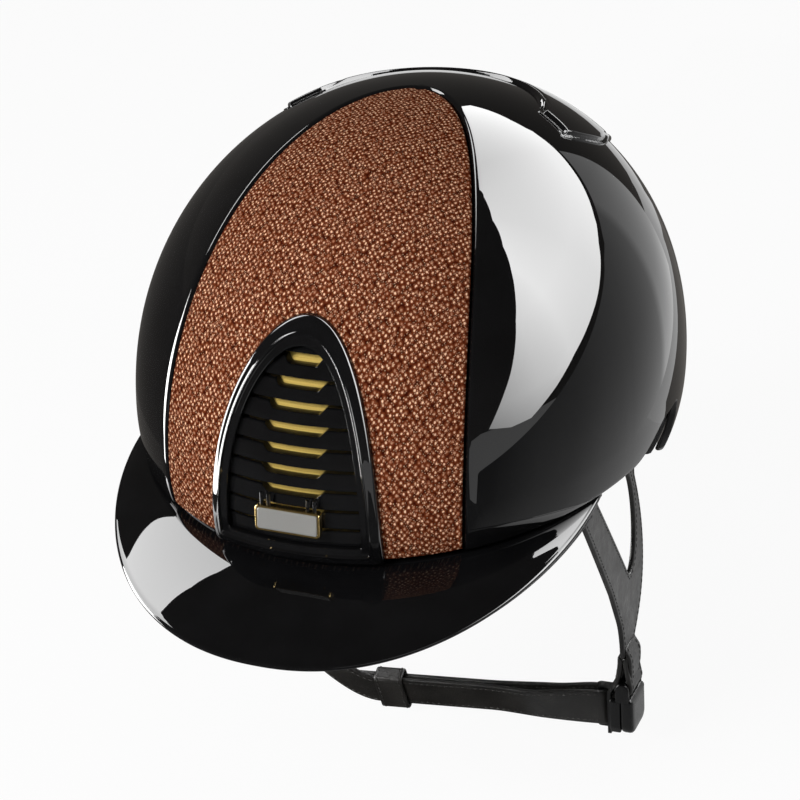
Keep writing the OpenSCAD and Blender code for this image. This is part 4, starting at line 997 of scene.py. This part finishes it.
def wall_pad(name, node, start, stop, low, high, seams):
    """Padded band on the liner's wall, crowned between its sewn seams."""
    nu, nv = 90, 26
    u, v = np.linspace(0, 1, nu)[:, None], np.linspace(0, 1, nv)
    phi = mix(start, stop, u)
    z = mix(liner_foot(np.where(phi > 180, phi - 360, phi)) + low, high, v)
    f = hump(np.minimum(np.minimum(u, 1 - u) * 30, np.minimum(v, 1 - v) * 9))
    seam = sum(np.exp(-((u - s) * (stop - start) / 1.1) ** 2) for s in seams)
    seam = seam + 0.7 * np.exp(-((v - 0.5) / 0.035) ** 2)
    thick = (PAD_T + 1.3) * f * (1 - 0.55 * np.minimum(seam, 1)) + 0.2
    top, bottom = (by_height(phi, z, PAD_OUT + d, True) for d in (thick, 0.1))
    pillow(name, top, bottom, PAD, "liner", node, fringe(nu, nv, 1))


def crown_pad():
    nu, nv = 96, 20
    phi, v = np.linspace(0, 360, nu, endpoint=False)[:, None], np.linspace(0, 1, nv)
    psi = mix(58, 90, v)
    spokes = np.exp(-((np.mod(phi + 22.5, 45) - 22.5) / 3) ** 2) * (v > 0.45)
    seam = np.exp(-((v - 0.45) / 0.03) ** 2) + spokes
    thick = (PAD_T + 1.0) * hump(v * 8) * (1 - 0.45 * np.minimum(seam, 1)) + 0.2
    points = [by_angle(phi, psi, PAD_OUT + d) for d in (thick, 0.1)]
    piece("crown_cushion", points, two_sides(nu, nv, True), PAD, "liner", "crown_pad")


wall_pad("brow_cushion", "brow_pad", -56, 56, 1, 34, (0.2, 0.4, 0.6, 0.8))
wall_pad("left_cushion", "left_side_pad", 60, 89, 2, 52, (0.5,))
wall_pad("right_cushion", "right_side_pad", 271, 300, 2, 52, (0.5,))
wall_pad("nape_cushion", "nape_pad", 112, 248, 2, 38, (0.25, 0.5, 0.75))
crown_pad()

# Harness
STRAP_T, CHIN_W, BAR_R, EDGE_R = 2.2, 16, 1.7, 0.75
FRONT_ANCHOR, REAR_ANCHOR = np.array([84.0, -47, -2]), np.array([87.0, 17, -3])
LOOP_POINT = np.array([94.5, 5, -115])
ALONG = unit(REAR_ANCHOR - FRONT_ANCHOR)
OUT = unit(np.cross(ALONG, FRONT_ANCHOR - LOOP_POINT))
DOWN = np.cross(OUT, ALONG)
DOWN = DOWN * -np.sign(DOWN[2])
STEM_U = float((LOOP_POINT - FRONT_ANCHOR) @ ALONG)
BAR_HOLE = BAR_R + RUN_GAP
LAP_R, LOOP_R = BAR_HOLE + STRAP_T / 2, BAR_HOLE + STRAP_T
PATTERN, LEFT_LEN, RIGHT_LEN, LEFT_LOOP, RIGHT_LOOP = 101, 101, 84, 18, 13
LEFT_BAR = LEFT_LEN + LEFT_LOOP - LOOP_R
RIGHT_BAR = RIGHT_LEN + RIGHT_LOOP - LOOP_R
FRONT_TOP, REAR_TOP, CROTCH, NECK = (-9, 6.5), (57.8, 67), (56.7, 66.5), 97
STITCH_IN = 1.7
FLIP = np.array([-1.0, 1, 1])


def strap_place(flip):
    """Maps u along the rim, v down the strap and w outwards to space."""
    def place(u, v, w):
        u, v, w = (np.asarray(k, float)[..., None] for k in (u, v, w))
        return (FRONT_ANCHOR + ALONG * u + DOWN * v + OUT * w) * flip
    return place


def bezier(a, b, c, d, n):
    t = np.linspace(0, 1, n + 1)[:, None]
    a, b, c, d = (np.array(p, float) for p in (a, b, c, d))
    return a * (1 - t) ** 3 + 3 * b * (1 - t) ** 2 * t + 3 * c * (1 - t) * t ** 2 + d * t ** 3


def strap_outline(length):
    """Outline of a two-branched side strap, pattern coordinates stretched to its length."""
    sf, sb = STEM_U - CHIN_W / 2, STEM_U + CHIN_W / 2
    points = np.vstack([
        [(FRONT_TOP[0], 0), (FRONT_TOP[0], 7), (31.9, 64.1)],
        bezier((40.7, 79.1), (44, 84), (sf, 90), (sf, NECK), 12), [(sf, PATTERN), (sb, PATTERN)],
        bezier((sb, NECK), (86, 78), (76, 44), (REAR_TOP[1] - 1, 24), 40),
        [(REAR_TOP[1], 10), (REAR_TOP[1], 0), (REAR_TOP[0], 0), (REAR_TOP[0], 6)],
        bezier((57, 20), (66, 30), (70, 62), CROTCH, 34), [(FRONT_TOP[1] + 10, 16), (FRONT_TOP[1], 0)]])
    points[:, 1] *= length / PATTERN
    total = run_of(np.vstack([points, points[:1]]))[-1]
    return soften(even_loop(points, int(total / 1.2)), 0.8)


def side_strap(side, place, flip, length):
    k, body, name = length / PATTERN, side + "_strap", side + "_side_strap"
    outline = strap_outline(length)

    def waved(u, v, w):
        return place(u, v, w + 0.25 * np.sin(v / (24 * k)) * ease(4, 20, v) * (1 - ease(88 * k, 100 * k, v)))
    plate(name + "_leather", outline, STRAP_T, waved, LEATHER, body, name, r=EDGE_R, spacing=2.6)
    inner = outline + inward(outline) * STITCH_IN
    inner = inner[(inner[:, 1] > 3) & (inner[:, 1] < length - 2)]
    gaps = np.where(np.linalg.norm(np.diff(inner, axis=0), axis=1) > 3)[0] + 1
    runs = [(waved(*part.T, w * STRAP_T / 2), OUT * w * flip)
            for part in np.split(inner, gaps) if len(part) > 3 for w in (1, -1)]
    stitches(side + "_strap_stitches", runs, body)
    stop = -STRAP_T / 2 - RUN_GAP
    for at, (a, b) in enumerate((FRONT_TOP, REAR_TOP)):
        path = place((a + b) / 2, np.linspace(stop - 8, stop, 12), 0)
        ribbon(f"{side}_strap_end_{at}", path, ALONG * flip, OUT * flip, b - a, STRAP_T, LEATHER, "helmet",
               side + "_strap_ends")


def face_of(wide, path):
    return unit(np.cross(wide, unit(np.gradient(path, axis=0))))


def strap_runs(path, wide, face, inset=1.8, sunk=0.03):
    """Stitch lines along both edges of a strap, on both faces."""
    return [(path + wide * s * (CHIN_W / 2 - inset) + face * lift * (STRAP_T / 2 - sunk), face * lift)
            for s in (-1, 1) for lift in (1, -1)]


def loop_path(drop):
    """Side view of a strap's loop round a bar: points (offset, distance)."""
    a = np.radians(np.linspace(-20, 200, 40))
    turn = np.stack([-LAP_R * np.cos(a), drop + LAP_R * np.sin(a)], 1)
    lead = curve([(-STRAP_T / 2, -0.5), (-STRAP_T / 2 - 0.3, drop * 0.3), tuple(turn[0])], 12)
    tail = curve([tuple(turn[-1]), (STRAP_T / 2 + 0.3, drop * 0.3), (STRAP_T / 2, -0.5)], 12)
    return np.vstack([lead[:-1], turn, tail[1:]])


def leather_loop(side, origin, axis, run_dir, off_dir, drop):
    name, body = side + "_loop_leather", side + "_strap"
    q = loop_path(drop)
    path = origin + q[:, :1] * off_dir + q[:, 1:] * run_dir
    face = face_of(axis, path)
    ribbon(name, path, axis, face, CHIN_W, STRAP_T - 0.1, LEATHER, body, side + "_strap_loop")
    stitches(name + "_stitches", strap_runs(path, axis, face, STITCH_IN, 0.05), body)


left, right = strap_place(1.0), strap_place(FLIP)
SIDES = (("left", left, 1.0, LEFT_LEN, LEFT_BAR), ("right", right, FLIP, RIGHT_LEN, RIGHT_BAR))
for side, place, flip, length, bar in SIDES:
    side_strap(side, place, flip, length)
for side, place, flip, length, bar in SIDES:
    leather_loop(side, place(STEM_U, length, 0), ALONG * flip, DOWN * flip, OUT * flip, bar - length)


def leaf():
    a = math.radians(12)
    du, dw = DOWN * math.cos(a) + OUT * math.sin(a), OUT * math.cos(a) - DOWN * math.sin(a)
    root = left(STEM_U, LEFT_LEN - 5, STRAP_T / 2 + 1.0)
    half = curve([(6.8, 0), (7.4, 3), (7.2, 9), (5.8, 15), (3.4, 20), (0.6, 23)], 16)
    outline = even(np.vstack([half, half[::-1] * [-1, 1]]), 60)

    def place(u, v, w):
        u, v, w = (np.asarray(k, float)[..., None] for k in (u, v, w))
        return root + ALONG * u + du * v + dw * (w - 0.012 * v ** 2 - 1.5 * (1 - ease(0, 6, v)))
    plate("left_leaf_leather", outline, 1.7, place, LEATHER, "left_strap", "left_strap_leaf", 0.6, 2.2)
    inner = outline * [0.74, 0.86] + [0, 1.2]
    stitches("left_leaf_stitches", [(place(*inner.T, 0.85), dw)], "left_strap")


leaf()

# Chin strap, with the same route as the part's source
HOUSE_TOP, HOUSE_H, HOUSE_IN, FACE_T = LOOP_R + RUN_GAP, 17, -5.5, 1.5
FACE_IN = HOUSE_IN - RUN_GAP - FACE_T
TONGUE_W, TONGUE_V = FACE_IN - RUN_GAP - LOOP_R, HOUSE_TOP + HOUSE_H / 2
RING_PITCH = 2 * LOOP_R + RUN_GAP
CHIN_A = left(STEM_U, LEFT_BAR + TONGUE_V, TONGUE_W)
CHIN_B = np.array([-24, CHIN_A[1], CHIN_A[2] - 0.12 * (CHIN_A[0] + 24)])
RING_BAR = right(STEM_U, RIGHT_BAR + RING_PITCH, 0)
CHIN_C = np.array([RING_BAR[0], CHIN_A[1], RING_BAR[2]])
CHIN_DROP = LEFT_LOOP - LOOP_R
CHIN_END = CHIN_C - unit(CHIN_C - CHIN_B) * CHIN_DROP
B1 = CHIN_B + unit(CHIN_A - CHIN_B) * 7
B2 = CHIN_B + unit(CHIN_END - CHIN_B) * 12
BEND_N, END_N, FIRST = 24, 69, 109
t1, t2 = np.linspace(0, 1, FIRST + 1)[:-1, None], np.linspace(0, 1, BEND_N)[:, None]
t3 = np.linspace(0, 1, END_N + 1)[1:, None]
ROUTE = np.vstack([mix(CHIN_A, B1, t1), B1 * (1 - t2) ** 2 + 2 * CHIN_B * t2 * (1 - t2) + B2 * t2 ** 2,
                   mix(B2, CHIN_END, t3)])
BEFORE, AFTER = np.r_[t1[:, 0], np.ones(BEND_N + END_N)], np.r_[np.zeros(FIRST + BEND_N), t3[:, 0]]
HEAD = unit(np.gradient(ROUTE, axis=0))
LEAN = np.radians(20 * ease(0, 0.35, BEFORE) + 70 * ease(0, 1, AFTER))
LOWER = np.stack([0 * LEAN, np.sin(LEAN), -np.cos(LEAN)], 1)
WIDE = unit(LOWER - HEAD * np.sum(HEAD * LOWER, 1, keepdims=True))
FACE = unit(np.cross(HEAD, WIDE))
LAYER = mix(LAP_R, STRAP_T / 2 + RUN_GAP, ease(0.25, 0.5, BEFORE))


def build_chin():
    front = ROUTE + FACE * (LAYER * (1 - ease(0.3, 1, AFTER)))[:, None]
    b, wide, face = BEFORE[:FIRST], WIDE[:FIRST], FACE[:FIRST]
    sag = 0.6 * ease(0, 0.5, b) + 1.4 * ease(0.02, 0.2, b) * (1 - ease(0.25, 0.5, b))
    tail = ROUTE[:FIRST] + wide * sag[:, None] - face * LAYER[:FIRST, None]
    tail = np.vstack([tail, tail[-1] + HEAD[FIRST - 1] * np.linspace(0, 1, 8)[1:, None] * 9.5])
    wide, face = (np.vstack([v, np.repeat(v[-1:], 7, 0)]) for v in (wide, face))
    for name, node, path, wide, face in (("chin", "chin_strap", front, WIDE, FACE),
                                         ("chin_tail", "chin_strap_tail", tail, wide, face)):
        ribbon(name + "_leather", path, wide, face, CHIN_W, STRAP_T, LEATHER, "chin_strap", node, EDGE_R)
        stitches(name + "_stitches", strap_runs(path, wide, face), "chin_strap")
    a = np.radians(np.linspace(-2, 182, 40))[:, None]
    path = CHIN_A + np.cos(a) * LAP_R * FACE[0] - np.sin(a) * LAP_R * HEAD[0]
    ribbon("chin_turn_leather", path, WIDE[0], face_of(WIDE[0], path), CHIN_W, STRAP_T, LEATHER,
           "chin_strap", "chin_strap_turn")
    side = ALONG * FLIP
    line = unit((CHIN_C - CHIN_B) - side * ((CHIN_C - CHIN_B) @ side))
    leather_loop("chin", RING_BAR - line * CHIN_DROP, side, line, unit(np.cross(side, line)), CHIN_DROP)


BASE_W, ARM_W, ARM_T, HOUSE_OUT, HOUSE_R = 20, 2, 6, 4.5, 4.6
POCKET_W, POCKET_TOP, POCKET_FLOOR = 14.6, 2, -1.4


def build_buckle():
    """Housing with soft edges, the walls of its pocket, two ears and the bar for the leather loop."""
    half, top, foot, small, lip = BASE_W / 2, HOUSE_TOP, HOUSE_TOP + HOUSE_H, 1.5, 0.8

    def buckle_plate(name, outline, t, du, dw, *more, **sizes):
        plate(name, outline, t, lambda u, v, w: left(STEM_U + u + du, LEFT_BAR + v, w + dw), SATIN,
              "left_strap", *more, **sizes)
    cover = np.vstack([corner(half - HOUSE_R, foot - HOUSE_R, HOUSE_R, 0),
                       corner(HOUSE_R - half, foot - HOUSE_R, HOUSE_R, 90),
                       corner(small - half, top + small, small, 180),
                       corner(half - small, top + small, small, 270)])
    buckle_plate("buckle_cover", even_loop(cover, 96), HOUSE_OUT - POCKET_FLOOR - 0.1, 0,
                 (HOUSE_OUT + POCKET_FLOOR) / 2 + 0.05, "buckle_base", r=1.9)
    slot, slot_top = POCKET_W / 2, top + POCKET_TOP
    walls = np.array([(half, top + 1), (half, foot - 3.5), (half - 1, foot - lip), (slot, foot - lip),
                      (slot, slot_top), (-slot, slot_top), (-slot, foot - lip), (1 - half, foot - lip),
                      (-half, foot - 3.5), (-half, top + 1), (1 - half, top), (half - 1, top)])
    depth = POCKET_FLOOR - HOUSE_IN + 0.4
    buckle_plate("buckle_walls", even_loop(walls, 160), depth, 0, HOUSE_IN + depth / 2)
    ear = np.vstack([corner(0, 0, ARM_T / 2, 180, 12), corner(0, 0, ARM_T / 2, 270, 12)[1:],
                     [(ARM_T / 2, top + 1.5), (-ARM_T / 2, top + 1.5)]])
    for name, s in (("buckle_ear_front", -1), ("buckle_ear_rear", 1)):
        x = STEM_U + s * (BASE_W - ARM_W) / 2
        plate(name, ear, ARM_W, lambda w, v, u: left(x + u, LEFT_BAR + v, w), SATIN, "left_strap")
    a = np.linspace(0, 2 * math.pi, 33)[:-1]
    run = np.linspace(0.3 - half, half - 0.3, 8)[:, None]
    bar = left(STEM_U + run, LEFT_BAR + BAR_R * np.cos(a), BAR_R * np.sin(a))
    piece("buckle_bar", bar, tube_faces(8, 32), SATIN, "left_strap")


def build_keeper():
    """Leather loop round both layers of the chin strap."""
    t, w, f = HEAD[90], WIDE[90], FACE[90]
    mid = mix(CHIN_A, B1, 11.2 / 12) + w * 0.3
    outline = rounded_outline(CHIN_W + 2.6, 2 * (STRAP_T + RUN_GAP + 0.3) + 1.4, 1.6, 12)
    loop = even_loop(outline, 96)
    path = mid + loop[:, :1] * w + loop[:, 1:] * f
    normal = unit(np.cross(unit(np.roll(path, -1, 0) - np.roll(path, 1, 0)), t))
    ribbon("keeper_leather", path, t, normal, 13, 1.4, LEATHER, "keeper", "strap_keeper", 0.6, closed=True)
    normal = normal * np.sign(np.sum(normal * (path - mid), 1, keepdims=True))
    stitches("keeper_stitches", [(path + t * s * 5 + normal * 0.68, normal) for s in (-1, 1)], "keeper")


build_chin()
build_buckle()
build_keeper()

# Materials of the CAD nodes that stay
FINISH = ((DARK_STEEL, "front_grille_pins rear_grille_pins badge_clips visor_rivets right_ring"),
          (STEEL, "anchor_rivets buckle_magnet tongue_magnet"), (KNIT, "hook_loop_dots"),
          (PLASTIC, "left_strap_anchors right_strap_anchors"), (SATIN, "buckle_tongue"))
for finish, nodes in FINISH:
    for node in nodes.split():
        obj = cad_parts[node]
        for place in obj.material_slots:
            place.material = finish
        if not obj.material_slots:
            obj.data.materials.append(finish)

# Floor, backdrop and light
FLOOR_Z = cad_box[0][2] - 0.003
FLOOR_COLOR, FLOOR_GLOW, AMBIENT = 0.86, 0.93, 0.28
WARM = (1, 0.94, 0.88)
UP = np.array([0, 0, 1])


def studio():
    """White floor and world; for the rays that don't see them as background they light softly."""
    corners = np.array([(-6, -6, FLOOR_Z), (6, -6, FLOOR_Z), (6, 6, FLOOR_Z), (-6, 6, FLOOR_Z)])
    mesh = make_mesh("floor", corners, [[0, 1, 2, 3]])
    m = Paint("floor_paint", (FLOOR_COLOR,) * 3, 0.9)
    glow = m.add("Emission", {"Color": (1, 1, 1, 1), "Strength": 1.0}).outputs[0]
    blend = m.add("MixShader", {0: m.times(m.seen(), FLOOR_GLOW), 1: m.bsdf.outputs[0], 2: glow})
    m.set(m.tree.nodes["Material Output"].inputs["Surface"], blend.outputs[0])
    mesh.materials.append(m.mat)
    add_object("floor", mesh)

    world = bpy.context.scene.world or bpy.data.worlds.new("world")
    bpy.context.scene.world = world
    world.use_nodes = True
    sky = Nodes(world.node_tree)
    back = sky.tree.nodes["Background"]
    back.inputs[0].default_value = (1, 1, 1, 1)
    back.inputs[1].default_value = AMBIENT
    pale = sky.add("Background", {0: (1, 1, 1, 1), 1: 1})
    blend = sky.add("MixShader", {0: sky.seen(), 1: back.outputs[0], 2: pale.outputs[0]})
    sky.set(sky.tree.nodes["World Output"].inputs["Surface"], blend.outputs[0])


def direction(az, el):
    a, e = np.radians(az), np.radians(el)
    return np.stack([np.sin(a) * np.cos(e), -np.cos(a) * np.cos(e), np.sin(e)], -1)


def card(name, points, faces, uv, ways, color=(1, 1, 1)):
    """Softbox, white card or flag that only reflections see.

    Its strength is the product of one ramp along u and perhaps one along v; each of ways is
    (low, high, stops), with stops (place, strength) between low and high.
    """
    mesh = make_mesh(name, np.asarray(points, float), faces, uv)
    m = Paint(name, (0, 0, 0), 1, spec=0.0)
    m.bsdf.inputs["Emission Color"].default_value = (*color, 1)
    axes = m.add("SeparateXYZ", {0: m.where("UV")}).outputs
    parts = []
    for axis, (low, high, stops) in zip(axes, ways):
        most = max(v for _, v in stops)
        tone = m.ramp(m.range(axis, low, high), *[((at - low) / (high - low), v / most) for at, v in stops])
        parts.append(m.times(tone, most))
    strength = m.times(*parts) if len(parts) > 1 else parts[0]
    mesh.materials.append(m.link(Emission_Strength=strength))
    obj = add_object(name, mesh)
    obj.visible_camera = obj.visible_diffuse = obj.visible_shadow = obj.visible_transmission = False


def softbox(name, eye, outline, across, up, distance=3.0):
    """Curved softbox whose outline is given as directions (azimuth, elevation) from eye."""
    flat, tris = fill(even_loop(np.array(outline, float), 120), 4)
    points = np.array(eye) + direction(flat[:, 0], flat[:, 1]) * distance
    card(name, points, tris, flat, [(-180, 200, across), (-20, 80, up)])


def wall(name, turn, radius, top, way, color):
    """Low curved screen that stands on the floor."""
    foot = direction(turn, 0 * turn) * radius
    points = np.stack([foot + UP * FLOOR_Z, foot + (top + 0 * turn)[:, None] * UP], 1)
    card(name, points, grid_faces(len(turn), 2), np.repeat(turn, 4), [way], color)


def flag(name, lift, outline, stops, color):
    """Sheet on the floor whose strength changes along y."""
    card(name, [(x, y, FLOOR_Z + lift) for x, y in outline], [list(range(len(outline)))],
         [(y, x) for x, y in outline], [(-0.3, 1.2, stops)], color)


def surroundings():
    az, el = np.meshgrid(np.linspace(-180, 180, 73), np.linspace(0, 90, 19), indexing="ij")
    card("dark_studio", direction(az, el) * 6 + UP * FLOOR_Z, grid_faces(73, 19), np.stack([el, az], -1),
         [(0, 90, [(0, 0.1), (30, 0.06), (90, 0.055)])], WARM)
    turn = np.linspace(-60, -192, 45)
    wall("low_flag", turn, 0.42, 0.024 + 0.09 * ease(-158, -146, turn),
         (-200, 0, [(-192, 0.12), (-100, 0.06)]), WARM)
    tone = [(-0.2, 0.1), (-0.08, 0.35), (0, 0.42), (0.08, 0.6), (0.4, 1.0), (0.47, 1.65)]
    flag("table_flag", 0.001, [(-6, -6), (1.6, -6), (0.36, -1.4), (0.36, 0.3), (0.02, 0.3), (-0.1, -0.05),
                               (-1.6, -0.6), (-6, -2)], tone, (1, 1, 1))
    flag("back_flag", 0.002, [(-1.6, -0.7), (0, -0.12), (0.1, 0.13), (0.178, 0.236), (0.265, 0.36),
                              (0.262, 0.75), (0.25, 1.2), (-0.12, 1.2), (-0.15, 0.4), (-0.5, 0.4),
                              (-1.6, -0.2)], [(-0.3, 0.08), (0.2, 0.1), (0.5, 0.18), (1.2, 0.22)], WARM)
    wall("left_strip", np.linspace(-55, -79, 15), 0.41, 0.2, (-90, -50, [(-82, 30), (-55, 18)]), (1, 1, 1))
    near, far = -0.25, 1.12
    sheet = [(near, FLOOR_Z), (far, FLOOR_Z), (far, 0.54 * far + 0.063), (near, 0.54 * near + 0.063)]
    card("white_card", [(0.355, *at) for at in sheet], [[0, 1, 2, 3]], sheet,
         [(-0.3, 1.2, tone), (-0.2, 0.8, [(-0.16, 1), (0.03, 0.67), (0.18, 0.55), (0.39, 0.42)])])


studio()
surroundings()
softbox("softbox_right", (0.065, -0.05, 0.08),
        [(69, -2), (83, -6), (89, -3), (97, 1), (106, 6), (116, 10), (124, 13), (141, 20.5), (160, 25.5),
         (178, 29), (190, 28), (196, 40), (186, 53), (174, 61), (156, 65), (146, 59), (127, 57), (112, 51),
         (103, 44), (96, 37), (90, 30), (85, 22), (80, 14), (75, 7)],
        [(69, 9), (90, 15.5), (105, 18), (128, 13.5), (150, 11), (165, 9), (190, 8)],
        [(-6, 0.45), (5, 0.7), (30, 0.95), (45, 1), (65, 1.1)])
softbox("softbox_left", (-0.03, -0.14, -0.015),
        [(-95, 32), (-110, 39.4), (-121, 42), (-131, 43.8), (-145, 44), (-145, 57), (-130, 58),
         (-117, 57.6), (-107, 55.7), (-97, 52), (-85, 45)],
        [(-140, 8.5), (-131, 9), (-97, 13), (-85, 13)], [(-20, 1), (80, 1)])
key = add_object("key", bpy.data.lights.new("key", "AREA"))
key.data.shape = "RECTANGLE"
key.data.size, key.data.size_y, key.data.energy = 0.6, 0.6, 38
key.visible_glossy = False
aim(key, (-0.65, -1.75, 1.1), (0, 0, 0.03))

bpy.context.scene.view_settings.view_transform = "Standard"
